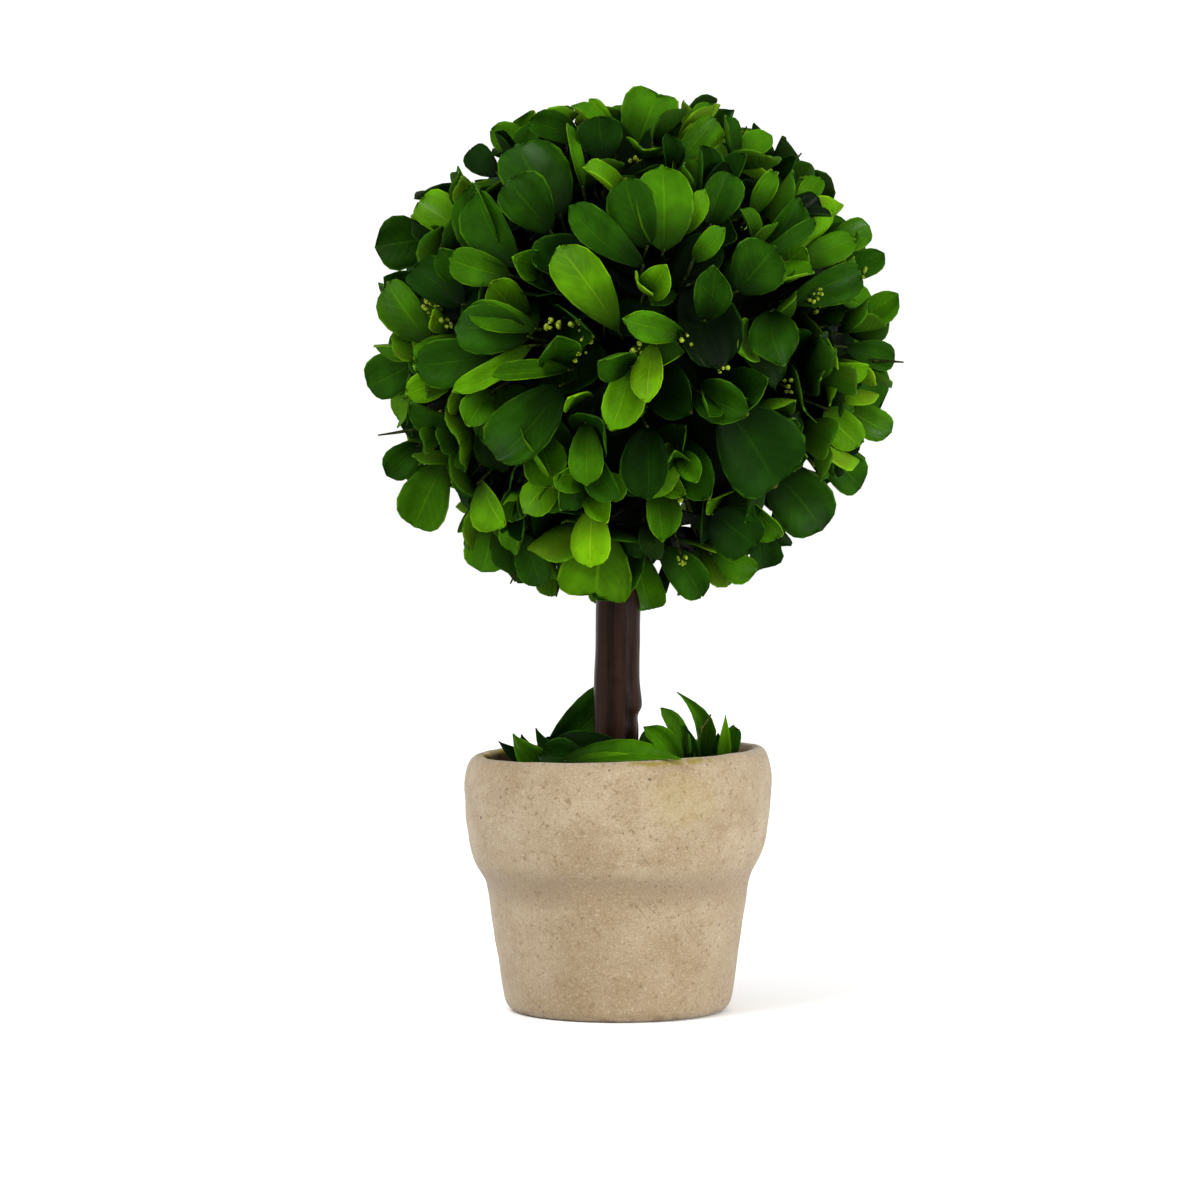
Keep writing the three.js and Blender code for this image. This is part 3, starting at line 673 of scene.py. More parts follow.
@dataclass
class Blades:
    """A lot of leaves as whole arrays, one row for each leaf.

    A leaf lies along from its root, its side and its face square to that. Its half width goes
    as u^wedge x (1 - (0.997 u)^fullness)^0.5 for a share u of its length, so it is broadest
    beyond its middle and ends roundly; a pointed leaf is broadest before it. Its tip is trimmed
    by u^6 x (rounding v^2 + notch) for a place v across. It bends along a circle, bows sideways
    by sweep x (u^2 - u), its sides rise by cup x v^2 + fold x |v|, and it twists about its line.
    """

    root: Array
    along: Array
    side: Array
    face: Array
    length: Array
    width: Array
    tone: Array
    seed: int
    bend: Array | None = None
    pointed: Array | None = None
    sweep: Array | None = None
    rows: tuple[float, ...] = (0.0, 0.1, 0.26, 0.46, 0.66, 0.82, 0.92, 0.98, 1.0)
    columns: tuple[float, ...] = (-1.0, -0.58, 0.0, 0.58, 1.0)
    thickness: float = 0.3
    # The ranges that the leaves' own forms are drawn from.
    wedges: Span = (0.46, 0.7)
    fullnesses: Span = (1.6, 2.5)
    bends: Span = (-0.45, 0.5)
    cups: Span = (0.2, 0.75)
    folds: Span = (0.0, 0.16)
    ruffles: Span = (-0.09, 0.09)
    roundings: Span = (0.03, 0.05)
    notches: Span = (0.015, 0.035)
    notched_share: float = 0.3
    # How widely the twist and the sideways bow are spread.
    twist: float = 0.2
    sway: float = 0.16

    def _half_widths(self, share: Array, pointed: Array, rng: np.random.Generator) -> Array:
        """The half width of every leaf at every row.

        Args:
            share: the rows' shares of a leaf's length.
            pointed: which leaves are pointed.
            rng: the lot's own draws.

        Returns:
            Leaves x rows, in millimetres.
        """
        count = len(self.length)
        wedge = rng.uniform(*self.wedges, count)[:, None]
        fullness = np.where(pointed, 1.1, rng.uniform(*self.fullnesses, count))[:, None]
        power = np.where(pointed, 1.1, 0.5)[:, None]
        shape = share ** wedge * (1.0 - (0.997 * share) ** fullness) ** power
        shape = np.maximum(shape, np.where(pointed, 0.02, 0.05)[:, None])
        return shape / shape.max(axis=1, keepdims=True) * self.width[:, None] / 2.0

    def shell(self) -> Shell:
        """The leaves as thin closed blades: a smooth top and underside, and a flat rim between.

        Returns:
            The shell, its faces in the slots of the leaves' tones, marked with blade and lot.
        """
        rng = np.random.default_rng(self.seed)
        count = len(self.length)
        u = np.array(self.rows)[None, :, None]
        v = np.array(self.columns)[None, None, :]
        pointed = np.zeros(count, bool) if self.pointed is None else self.pointed
        bend = rng.uniform(*self.bends, count) if self.bend is None else self.bend
        bend = np.where(np.abs(bend) < 0.02, 0.02, bend)[:, None, None]
        cup = rng.uniform(*self.cups, count)[:, None, None]
        fold = rng.uniform(*self.folds, count)[:, None, None]
        twist = rng.normal(0.0, self.twist, count)[:, None, None]
        rounding = np.where(pointed, 0.0, rng.uniform(*self.roundings, count))[:, None, None]
        notched = ~pointed & (rng.uniform(size=count) < self.notched_share)
        notch = np.where(notched, rng.uniform(*self.notches, count), 0.0)[:, None, None]
        sweep = rng.normal(0.0, self.sway, count) if self.sweep is None else self.sweep
        ruffle = rng.uniform(*self.ruffles, count)[:, None, None]
        half = self._half_widths(u[0, :, 0][None, :], pointed, rng)[:, :, None]
        length = self.length[:, None, None]

        run = u - u ** 6 * (rounding * v ** 2 + notch * np.exp(-(v / 0.3) ** 2))
        forward = length * np.sin(bend * run) / bend
        rise = length * (1.0 - np.cos(bend * run)) / bend
        across = half * v * (1.0 - 0.12 * cup)
        lift = half * (cup * v ** 2 + fold * np.abs(v) + ruffle * np.sin(7.0 * u) * v)
        spin = twist * u
        sideways = across * np.cos(spin) - lift * np.sin(spin) + sweep[:, None, None] * length * (u ** 2 - u)
        upward = across * np.sin(spin) + lift * np.cos(spin)
        forward = forward - upward * np.sin(bend * run)
        upward = rise + upward * np.cos(bend * run)

        spread = (vectors[:, None, None] for vectors in (self.root, self.along, self.side, self.face))
        root, along, side, face = spread
        top = root + along * forward[..., None] + side * sideways[..., None] + face * upward[..., None]
        normal = face * np.cos(bend * run)[..., None] - along * np.sin(bend * run)[..., None]
        thick = self.thickness * (1.0 - 0.45 * v ** 2) * np.minimum(1.0, 0.6 + u)
        bottom = top - normal * np.broadcast_to(thick, forward.shape)[..., None]
        points = np.stack([top, bottom], axis=1)
        return self._faced(points, rng)

    def _faced(self, points: Array, rng: np.random.Generator) -> Shell:
        """Faces, tones and marks over the leaves' points.

        Args:
            points: leaves x 2 sides x rows x columns x 3.
            rng: the lot's own draws.

        Returns:
            The shell.
        """
        count, _, rows, columns = points.shape[:4]
        ids = np.arange(2 * rows * columns).reshape(2, rows, columns)

        def quads(grid: Array) -> Array:
            """The faces over a grid of point numbers."""
            corners = [grid[:-1, :-1], grid[:-1, 1:], grid[1:, 1:], grid[1:, :-1]]
            return np.stack(corners, axis=-1).reshape(-1, 4)

        above = quads(ids[0])[:, ::-1]
        below = quads(ids[1])
        loop = np.concatenate([ids[:, 0, :-1], ids[:, :-1, -1], ids[:, -1, :0:-1], ids[:, :0:-1, 0]], axis=1)
        loop = np.concatenate([loop, loop[:, :1]], axis=1)
        rim = quads(loop)
        blade = np.concatenate([above, below, rim])
        flat = np.concatenate([np.zeros(len(above) + len(below), bool), np.ones(len(rim), bool)])
        starts = np.arange(count)[:, None, None] * ids.size
        faces = (blade[None] + starts).reshape(-1, 4)
        u, v = np.array(self.rows), np.array(self.columns)
        blade_mark = np.zeros((count, 2, rows, columns, 3))
        blade_mark[..., 0] = u[:, None]
        blade_mark[..., 1] = v[None, :]
        blade_mark[:, 1, :, :, 2] = 1.0
        lot_mark = np.broadcast_to(rng.uniform(size=(count, 1, 3)), (count, ids.size, 3)).reshape(-1, 3)
        slots = np.repeat(self.tone.astype(int), len(blade))
        marks = {"blade": blade_mark.reshape(-1, 3), "lot": lot_mark}
        return Shell(points.reshape(-1, 3), [faces], [slots], [np.tile(flat, count)], marks)


def tubes(starts: Array, ends: Array, radii: Array, thin: float = 0.7, sag: float = 0.0,
          seed: int = 0, sides: int = 5, steps: int = 4) -> Shell:
    """Tapering stems from starts to ends, each bowed a little to one side.

    The centre line goes straight plus sag x 4t(1 - t) of the stem's length sideways, and the
    radius falls from its own at the foot to thin times that at the tip.

    Args:
        starts: the feet, one row each.
        ends: the tips.
        radii: the radius of each foot.
        thin: the tip's radius as a share of the foot's.
        sag: how far a stem bows, as a share of its length.
        seed: the draws for the bows.
        sides: how many sides a stem has.
        steps: how many lengths it is made in.

    Returns:
        The stems as one shell, closed at both ends.
    """
    rng = np.random.default_rng(seed)
    run = ends - starts
    length = np.linalg.norm(run, axis=1, keepdims=True)
    head = run / length
    side, other = square_to(head)
    bow = rng.uniform(0.0, 2.0 * math.pi, len(starts))[:, None]
    bowed = (side * np.cos(bow) + other * np.sin(bow)) * length * sag
    t = np.linspace(0.0, 1.0, steps + 1)[None, :, None]
    line = starts[:, None] + run[:, None] * t + bowed[:, None] * 4.0 * t * (1.0 - t)
    turn = turns(sides)[None, None, :, None]
    radius = (radii[:, None, None] * (1.0 - (1.0 - thin) * t))[..., None]
    ring = side[:, None, None] * np.cos(turn) + other[:, None, None] * np.sin(turn)
    points = line[:, :, None] + ring * radius
    return Shell.joined([Shell.grid(grid, caps=True) for grid in points])


def balls(centres: Array, radii: Array, heads: Array, stretch: float = 1.3, sides: int = 6) -> Shell:
    """Small egg-shaped bodies: rings of radius sin a at height cos a times a stretch.

    Args:
        centres: the middles, one row each.
        radii: their radii.
        heads: the directions that they are longer in.
        stretch: how much longer.
        sides: how many sides each ring has.

    Returns:
        The bodies as one shell.
    """
    side, other = square_to(heads)
    level = np.radians([152.0, 110.0, 68.0, 28.0])[None, :, None, None]
    turn = turns(sides)[None, None, :, None]
    ring = side[:, None, None] * np.cos(turn) + other[:, None, None] * np.sin(turn)
    unit_points = ring * np.sin(level) + heads[:, None, None] * np.cos(level) * stretch
    points = centres[:, None, None] + unit_points * radii[:, None, None, None]
    return Shell.joined([Shell.grid(grid, caps=True) for grid in points])


# ---------------------------------------------------------------- growth of the ball

SWINGS = ((0.0, 0.0), (12.0, 18.0), (-12.0, -18.0), (22.0, -30.0), (-22.0, 30.0), (0.0, 45.0))


@dataclass(frozen=True)
class Pair:
    """A pair of leaves on a sprig: height up the twig, degrees away from it, leaf length."""

    height: float
    spread: float
    length: float


@dataclass
class Leaf:
    """One flat leaf while the ball grows: where it lies, and six points round its edge."""

    root: Array
    along: Array
    side: Array
    face: Array
    length: float
    width: float
    tone: int
    leading: bool = False
    edge: Array = field(init=False)
    middle: Array = field(init=False)

    def __post_init__(self) -> None:
        """Works out the edge: points each 60 degrees round an ellipse of the leaf's size."""
        turn = np.arange(6)[:, None] * math.pi / 3.0
        self.edge = (self.root + self.along * self.length * (0.5 + 0.5 * np.cos(turn))
                     + self.side * self.width * 0.5 * np.sin(turn))
        self.middle = self.root + self.along * self.length / 2.0


@dataclass
class Foliage:
    """Leaves and twigs, in mm from the ball's centre. A leaf that has no room is skipped."""

    reach: float = 43.6
    depth: float = 26.0
    trunk_across: float = 2.0
    trunk_berth: float = 4.6
    closeness: float = 0.9
    # Depths from the ball's centre below which a leaf is dealt a tone darker, as painted shade.
    shaded: Span = (34.0, 31.5)
    hollows: Table = ()
    fullness: float = 1.12
    neighbours: float = 0.55
    berth: float = 1.5
    in_view: float = 0.5
    twig_past: float = 0.8
    facing: float = 0.3
    leaves: list[Leaf] = field(default_factory=list)
    twigs: list[tuple[Array, Array, float]] = field(default_factory=list)

    def _passes(self, edges: Array, blades: tuple[Array, Array, Array]) -> bool:
        """Whether any closed edge of six points passes through the blade it is set against.

        Args:
            edges: lots x 6 x 3 points.
            blades: the middles, the half lengths and widths, and the directions of the blades.

        Returns:
            True where an edge crosses a blade's plane inside the closeness of its ellipse.
        """
        middles, halves, axes = blades
        local = np.einsum("nki,nji->nkj", edges - middles[:, None], axes)
        after = np.roll(local, -1, axis=1)
        apart = (local[..., 2] > 0.0) != (after[..., 2] > 0.0)
        gap = local[..., 2] - after[..., 2]
        share = np.where(apart, local[..., 2] / np.where(gap == 0.0, 1.0, gap), 0.0)
        place = local[..., :2] + (after - local)[..., :2] * share[..., None]
        return bool(np.any(apart & (np.sum((place / halves[:, None]) ** 2, axis=-1) < self.closeness)))

    def _has_room(self, leaf: Leaf) -> bool:
        """Whether a leaf keeps to the ball's space and clear of the stick and the other leaves.

        Args:
            leaf: the leaf to try.

        Returns:
            False where it leaves the ball's reach or its depth, touches the stick, lies in a
            hollow, stands in a leading leaf's way, or passes through a neighbour.
        """
        depths = np.linalg.norm(leaf.edge, axis=1)
        if depths.max() > self.reach or depths.min() < self.depth:
            return False
        away = np.hypot(leaf.edge[:, 0] + self.trunk_across, leaf.edge[:, 1])
        if np.any((leaf.edge[:, 2] < 0.0) & (away < self.trunk_berth)):
            return False
        for across, up, width in self.hollows:
            if leaf.middle[1] < 0.0 and math.hypot(leaf.middle[0] - across, leaf.middle[2] - up) < width:
                return False
        if self._in_the_way(leaf):
            return False
        near = [other for other in self.leaves if np.linalg.norm(leaf.middle - other.middle)
                < (leaf.length + other.length) * self.neighbours]
        if not near:
            return True
        edges = np.stack([other.edge for other in near])
        mine = np.broadcast_to(leaf.edge, edges.shape)
        return not (self._passes(mine, self._measured(near))
                    or self._passes(edges, self._measured([leaf] * len(near))))

    @staticmethod
    def _measured(leaves: Sequence[Leaf]) -> tuple[Array, Array, Array]:
        """The middles, the half lengths and widths, and the directions of leaves."""
        halves = np.array([(leaf.length, leaf.width) for leaf in leaves]) / 2.0
        axes = np.array([(leaf.along, leaf.side, leaf.face) for leaf in leaves])
        return np.array([leaf.middle for leaf in leaves]), halves, axes

    @functools.cached_property
    def _leading(self) -> tuple[Array, Array, Array]:
        """The leading leaves, measured once: they are all there before any other is tried."""
        return self._measured([leaf for leaf in self.leaves if leaf.leading])

    def _in_the_way(self, leaf: Leaf) -> bool:
        """Whether a leaf comes close to a leading leaf's blade, or stands before it from the front.

        A point off a blade's middle lies on its ellipse where (along / half length)^2 +
        (side / half width)^2 = 1. From the front, the same two measures are those that
        carry the middle to the point's place across and up.

        Args:
            leaf: the leaf to try.

        Returns:
            True for an edge point closer than the berth, or any point before the middle of a
            blade that faces the front.
        """
        middles, halves, axes = self._leading
        along, side, face = axes[:, 0, None], axes[:, 1, None], axes[:, 2, None]
        points = np.concatenate([leaf.edge, (leaf.edge + leaf.middle) / 2.0, leaf.middle[None]])
        off = points[None] - middles[:, None]
        inside = sum((np.sum(off * way, axis=-1) / half) ** 2
                     for way, half in ((along, halves[:, :1]), (side, halves[:, 1:]))) < 1.0
        close = inside & (np.abs(np.sum(off * face, axis=-1)) < self.berth)
        turned = np.abs(face[..., 1]) < self.facing
        depth = np.where(turned, 1.0, face[..., 1])
        lengthwise = (side[..., 0] * off[..., 2] - off[..., 0] * side[..., 2]) / depth
        sidewise = (off[..., 0] * along[..., 2] - along[..., 0] * off[..., 2]) / depth
        before = off[..., 1] < lengthwise * along[..., 1] + sidewise * side[..., 1]
        seen = (lengthwise / halves[:, :1]) ** 2 + (sidewise / halves[:, 1:]) ** 2 < self.in_view
        return bool(np.any(close[:, :6]) or np.any(before & seen & ~turned))

    def add(self, root: Array, along: Array, face: Array, length: float, width: float,
            tone: int, tested: bool = True) -> bool:
        """Adds a leaf as it is, or in the first of the swings that has room.

        Args:
            root: where it starts.
            along: the direction it runs in.
            face: the direction its top looks in.
            length: its length.
            width: its width.
            tone: its green.
            tested: whether it has to find room.

        Returns:
            Whether it was added.
        """
        for tilt, roll in SWINGS if tested else SWINGS[:1]:
            hinge = np.cross(face, along)
            new_along = swung(along, hinge, tilt)
            new_face = swung(swung(face, hinge, tilt), new_along, roll)
            side = np.cross(new_face, new_along)
            leaf = Leaf(root, new_along, side, new_face, length, width, tone, not tested)
            if not tested or self._has_room(leaf):
                self.leaves.append(leaf)
                return True
        return False

    def add_twig(self, start: Array, end: Array, radius: float) -> None:
        """Adds a twig that runs a little past its end."""
        self.twigs.append((start, end + unit(end - start) * self.twig_past, radius))

    def blades(self, centre: tuple[float, ...], seed: int) -> Blades:
        """All the leaves as arrays at the ball's place, the buried ones a tone darker as painted shade.

        Args:
            centre: the ball's middle.
            seed: the draws for their shapes; their bends take the next one.

        Returns:
            The leaves.
        """
        names = ("root", "along", "side", "face", "length", "width", "tone", "middle", "leading")
        rows = {name: np.array([getattr(leaf, name) for leaf in self.leaves]) for name in names}
        depth = np.linalg.norm(rows.pop("middle"), axis=1)
        # Painted shade: one tone darker for each depth that a leaf's middle lies below.
        buried = (depth[:, None] < np.array(self.shaded)).sum(axis=1)
        bend = np.random.default_rng(seed + 1).uniform(-0.4, 0.5, len(depth))
        bend[rows.pop("leading")] *= 0.4
        rows["root"] += centre
        rows["width"] *= self.fullness
        rows["tone"] = np.maximum(rows["tone"] - buried, 0)
        return Blades(**rows, seed=seed, bend=bend)


@dataclass
class LeafBall:
    """The clipped ball: a dense dark core, sprigs of paired leaves, twigs, buds and stray tips."""

    centre: Point = BALL_CENTRE
    core_radius: float = 26.6
    core_lump: float = 0.8
    sprigs: int = 68
    sprig_seed: int = 7
    sprig_lean: float = 28.0
    sprig_foot: float = 27.0
    sprig_sizes: Span = (0.82, 1.15)
    leaf_lengths: Span = (0.8, 1.15)
    leaf_widths: Span = (0.5, 0.68)
    # How far, in degrees, a leaf may turn round its twig, spread from it and roll.
    sways: Point = (18.0, 14.0, 28.0)
    pairs: tuple[Pair, ...] = (Pair(2.6, 64.0, 14.0), Pair(6.0, 50.0, 13.0), Pair(9.2, 30.0, 9.5))
    inner_pairs: tuple[Pair, ...] = (Pair(0.4, 70.0, 12.5), Pair(4.4, 58.0, 11.5))
    fine_pairs: tuple[Pair, ...] = (Pair(3.0, 56.0, 12.5), Pair(6.6, 40.0, 11.5), Pair(9.6, 24.0, 9.0))
    fine_sprigs: int = 230
    fine_closeness: float = 0.85
    # Dark hollows of the front, where few leaves stand: across, up, half their width.
    hollows: Table = (
        (-6.0, 1.0, 5.5), (12.0, 9.0, 4.5), (3.5, -12.0, 4.5), (9.5, -24.0, 4.5), (-7.5, 22.0, 3.5),
        (-22.0, 5.0, 3.5), (13.0, -3.0, 4.0), (30.0, -6.0, 3.0), (26.0, 6.0, 3.0),
    )
    fine_seed: int = 23
    front_root_reach: float = 36.5
    front_tip_reach: float = 42.5
    front_lean: float = 0.45
    front_outward: float = 0.25
    front_twig: float = 0.34
    bud_clusters: int = 90
    buds_each: int = 7
    bud_depths: Span = (31.0, 36.5)
    bud_radii: Span = (0.22, 0.5)
    bud_spread: float = 0.55
    bud_front: float = -12.0
    bud_berth: float = 8.0
    stem_radius: float = 0.32
    twig_radius: float = 0.36
    twig_foot: float = 4.0
    stray_radius: float = 0.55
    stray_root: float = 0.78
    tone_shares: tuple[float, ...] = (0.05, 0.20, 0.33, 0.32, 0.10)
    dark_side: Point = (0.6, -0.4, -0.7)
    dark_from: float = 0.35
    tone_drift: float = -0.4
    # Leading leaves of the front, in mm from the centre: root across and up, tip across and up,
    # width, roll in degrees, tone.
    front: Table = (
        (-2.0, 3.0, -11.6, 16.4, 7.6, 0, 4), (8.6, 2.4, -1.8, 5.0, 4.8, -10, 3),
        (2.0, 13.0, -9.5, 23.0, 6.0, 25, 2), (2.6, 16.0, -1.0, 27.2, 7.4, -15, 2),
        (5.2, 15.5, 5.0, 29.4, 8.4, 5, 3), (12.5, 19.5, 15.6, 28.4, 6.6, 0, 2),
        (8.2, 18.0, 11.8, 25.4, 3.2, 0, 4), (-11.0, 21.0, -18.6, 33.6, 10.4, 5, 2),
        (-12.5, 18.5, -19.6, 27.0, 8.6, 0, 2), (-18.0, 13.0, -24.4, 25.2, 7.6, -5, 2),
        (-19.0, 11.6, -29.2, 14.6, 5.6, 0, 3), (-25.5, 18.5, -35.0, 24.6, 6.6, 0, 4),
        (-26.5, 7.0, -35.6, 13.4, 7.0, 10, 1), (-14.8, 3.2, -26.0, 6.6, 4.6, 10, 3),
        (-16.0, 2.0, -28.0, 3.4, 7.6, 0, 2), (-15.6, 0.6, -28.4, -6.8, 3.8, 30, 4),
        (-9.6, -3.2, -22.0, -4.2, 3.6, 40, 3), (-21.5, -1.0, -34.4, -2.6, 7.6, 0, 2),
        (-11.0, -5.6, -21.4, -17.6, 9.6, 0, 2), (-7.0, -11.4, -7.0, -21.6, 5.4, 0, 3),
        (-6.4, -22.6, -3.6, -27.6, 4.4, 0, 4), (-6.0, -25.4, -6.4, -35.0, 6.0, 0, 5),
        (2.6, -12.0, 3.0, -24.0, 7.6, 15, 1), (3.6, 1.0, 2.6, -8.8, 5.0, 10, 5),
        (15.0, -9.0, 23.6, -22.4, 13.4, 0, 1), (22.2, 6.2, 24.2, -3.2, 7.8, 0, 2),
        (16.6, 9.0, 23.0, 16.4, 8.8, 0, 2), (11.5, 4.5, 13.0, 13.5, 6.0, 0, 2),
        (25.0, 7.6, 37.4, 12.6, 6.4, 10, 2), (24.0, 15.0, 33.5, 22.5, 3.6, 20, 4),
        (20.0, 14.5, 29.5, 21.0, 3.0, 30, 2), (27.0, 13.5, 36.5, 18.0, 4.6, 0, 3),
        (22.5, -19.0, 31.6, -29.6, 9.6, 0, 2), (-4.4, -28.5, -5.8, -40.6, 12.0, 0, 4),
        (13.0, -26.0, 20.5, -31.8, 8.4, 0, 1), (-15.0, -13.5, -12.0, -22.0, 7.0, 0, 3),
    )
    # Those that make the ball's outline as seen from the front, clockwise from its top.
    outline: Table = (
        (0.6, 31.6, 4.8, 42.9, 8.8, 0, 3), (-2.5, 36.0, -7.0, 41.0, 2.8, 0, 4),
        (7.1, 29.5, 14.0, 37.8, 4.2, 0, 3), (17.3, 31.0, 23.2, 35.0, 4.0, 0, 3),
        (22.3, 29.0, 27.2, 31.6, 2.4, 0, 1), (27.0, 22.5, 31.2, 28.4, 3.6, 0, 3),
        (32.0, 16.9, 39.8, 20.6, 5.0, 0, 3), (35.0, 12.0, 42.0, 16.0, 4.6, 0, 2),
        (36.4, 4.2, 44.3, 9.4, 5.2, 0, 3), (35.0, 0.4, 43.6, -1.9, 4.8, 0, 2),
        (35.0, -8.8, 43.2, -13.6, 5.2, 0, 3), (31.5, -9.5, 37.4, -15.6, 5.4, 0, 4),
        (31.5, -17.4, 38.2, -22.8, 6.4, 0, 2), (13.0, -32.8, 21.0, -36.0, 5.2, 0, 3),
        (5.0, -32.0, 11.8, -40.4, 5.8, 0, 2), (1.6, -33.0, 3.6, -43.2, 6.6, 0, 3),
        (-17.6, -29.6, -14.6, -39.0, 5.4, 0, 2), (-23.0, -28.0, -24.5, -36.5, 7.0, 0, 3),
        (-30.0, -18.0, -35.4, -29.0, 8.4, 0, 3), (-34.6, -15.6, -40.4, -20.8, 5.4, 0, 2),
        (-34.0, -0.8, -43.2, -5.9, 7.4, 0, 2), (-32.3, 1.2, -39.4, 11.0, 7.0, 0, 3),
        (-32.2, 18.4, -42.2, 16.8, 8.4, 0, 2), (-21.6, 28.6, -26.6, 33.4, 4.6, 0, 1),
        (-15.6, 33.0, -23.2, 36.2, 5.0, 0, 3), (-8.0, 33.4, -16.8, 37.0, 5.0, 0, 2),
        (-7.5, 25.5, -10.2, 36.4, 2.6, 50, 3), (-4.4, 30.0, -5.2, 37.6, 7.0, 0, 1),
    )
    # Bud clusters that show on the front: across and up from the centre.
    buds: Table = (
        (-31.5, 7.0), (-29.0, 4.0), (-19.0, 3.0), (-12.0, 4.0), (-8.5, 4.0), (-7.0, 2.0),
        (-8.0, 0.0), (1.0, 0.0), (9.0, 1.0), (-16.0, -8.0), (11.0, -22.0), (7.0, -23.0),
        (14.0, -3.0), (25.0, -6.0), (29.0, 8.5), (38.0, 12.5),
    )
    # Narrow stray tips on the outline: across and up from the centre, and how far they stand out.
    strays: Table = (
        (16.0, 35.0, 41.0), (18.0, 34.5, 41.5), (27.0, 31.0, 43.0), (-41.5, -14.0, 44.0),
        (-19.5, -38.0, 43.4), (-14.5, -39.0, 42.5), (-12.0, -40.0, 42.6), (45.0, -2.0, 45.2),
    )

    @staticmethod
    def _on_front(across: float, up: float, reach: float) -> Array:
        """A point on the front half of a ball of a given reach."""
        return np.array([across, -math.sqrt(max(reach ** 2 - across ** 2 - up ** 2, 0.0)), up])

    def _grow_front(self, foliage: Foliage) -> None:
        """Grows the leading leaves, which face forwards and a little outwards.

        Args:
            foliage: what they are added to.
        """
        for root_x, root_z, tip_x, tip_z, width, roll, tone in self.front + self.outline:
            root = self._on_front(root_x, root_z, self.front_root_reach)
            tip = self._on_front(tip_x, tip_z, self.front_tip_reach)
            run = math.hypot(tip_x - root_x, tip_z - root_z)
            root[1] = max(root[1], tip[1] - self.front_lean * run)
            along = unit(tip - root)
            face = unit(root + tip) * self.front_outward + np.array([0.0, self.front_outward - 1.0, 0.0])
            face = unit(face - along * (face @ along))
            length = float(np.linalg.norm(tip - root))
            foliage.add(root, along, swung(face, along, roll), length, width, int(tone), tested=False)
            foliage.add_twig(unit(root) * (self.sprig_foot - self.twig_foot), root, self.front_twig)

    def _grow_sprig(self, foliage: Foliage, out: Array, draws: Draws, pairs: Sequence[Pair],
                    tones: Draws) -> None:
        """One sprig: a leaning twig with leaf pairs, each pair at right angles to the one below.

        Args:
            foliage: what it is added to.
            out: the direction out of the ball that it grows in.
            draws: its lean, turn, size and leaves.
            pairs: its pairs of leaves.
            tones: its greens.
        """
        lean = draws.between(0.0, self.sprig_lean)
        lean_turn = draws.between(0.0, 360.0)
        base_turn = draws.between(0.0, 180.0)
        size = draws.between(*self.sprig_sizes)
        turn_sway, spread_sway, roll_sway = self.sways
        across = unit(np.cross(out, np.array([0.3, 0.5, 0.81])))
        axis = swung(out, swung(across, out, lean_turn), lean)
        foot = out * self.sprig_foot
        first = swung(unit(np.cross(axis, across)), axis, base_turn)
        sprig_tone = int(np.searchsorted(np.cumsum(self.tone_shares), tones.next()))
        drift = self.tone_drift if out @ unit(np.array(self.dark_side)) > self.dark_from else 0.0
        top = foot
        for level, pair in enumerate(pairs):
            at = foot + axis * pair.height * size
            for half in (0.0, 180.0):
                around = draws.between(-turn_sway, turn_sway)
                spread = math.radians(pair.spread + draws.between(-spread_sway, spread_sway))
                length = pair.length * size * draws.between(*self.leaf_lengths)
                width = length * draws.between(*self.leaf_widths)
                roll = draws.between(-roll_sway, roll_sway)
                away = swung(first, axis, level * 90.0 + half + around)
                along = axis * math.cos(spread) + away * math.sin(spread)
                face = axis * math.sin(spread) - away * math.cos(spread)
                tone = sprig_tone + int(tones.between(0.0, 3.0) + drift) - 1
                tone = min(Tone.FRESH, max(Tone.DEEP, tone))
                if foliage.add(at, along, swung(face, along, roll), length, width, tone):
                    top = at
        foliage.add_twig(foot - axis * self.twig_foot, top, self.twig_radius)

    def grow(self) -> Foliage:
        """The front, then sprigs on an even spiral, then finer ones in the gaps between them."""
        foliage = Foliage()
        self._grow_front(foliage)
        tones = Draws(self.sprig_seed + 4)
        draws = Draws(self.sprig_seed)
        outs = spiral(self.sprigs)
        for out in outs:
            self._grow_sprig(foliage, out, draws, self.pairs, tones)
        log.info("ball: %d leaves on its main sprigs", len(foliage.leaves))
        foliage.closeness = self.fine_closeness
        foliage.hollows = self.hollows
        inner = Draws(self.fine_seed + 1)
        for out in outs:
            self._grow_sprig(foliage, out, inner, self.inner_pairs, tones)
        fine = Draws(self.fine_seed)
        for out in spiral(self.fine_sprigs):
            self._grow_sprig(foliage, out, fine, self.fine_pairs, tones)
        log.info("ball: %d leaves in all", len(foliage.leaves))
        return foliage

    def _core(self) -> Shell:
        """The core: a ball whose radius goes up and down by 0.8 mm, and more at a longer wave."""
        level = np.radians(np.linspace(176.0, 4.0, 48))[:, None]
        turn = turns(96)[None, :]
        heads = np.stack([np.sin(level) * np.cos(turn), np.sin(level) * np.sin(turn),
                          np.cos(level) * np.ones_like(turn)], axis=-1)
        lumps = Relief(3, 2.0, 9.0).at(heads * self.core_radius)[..., None] * self.core_lump
        return Shell.grid(heads * (self.core_radius + lumps) + self.centre, caps=True)

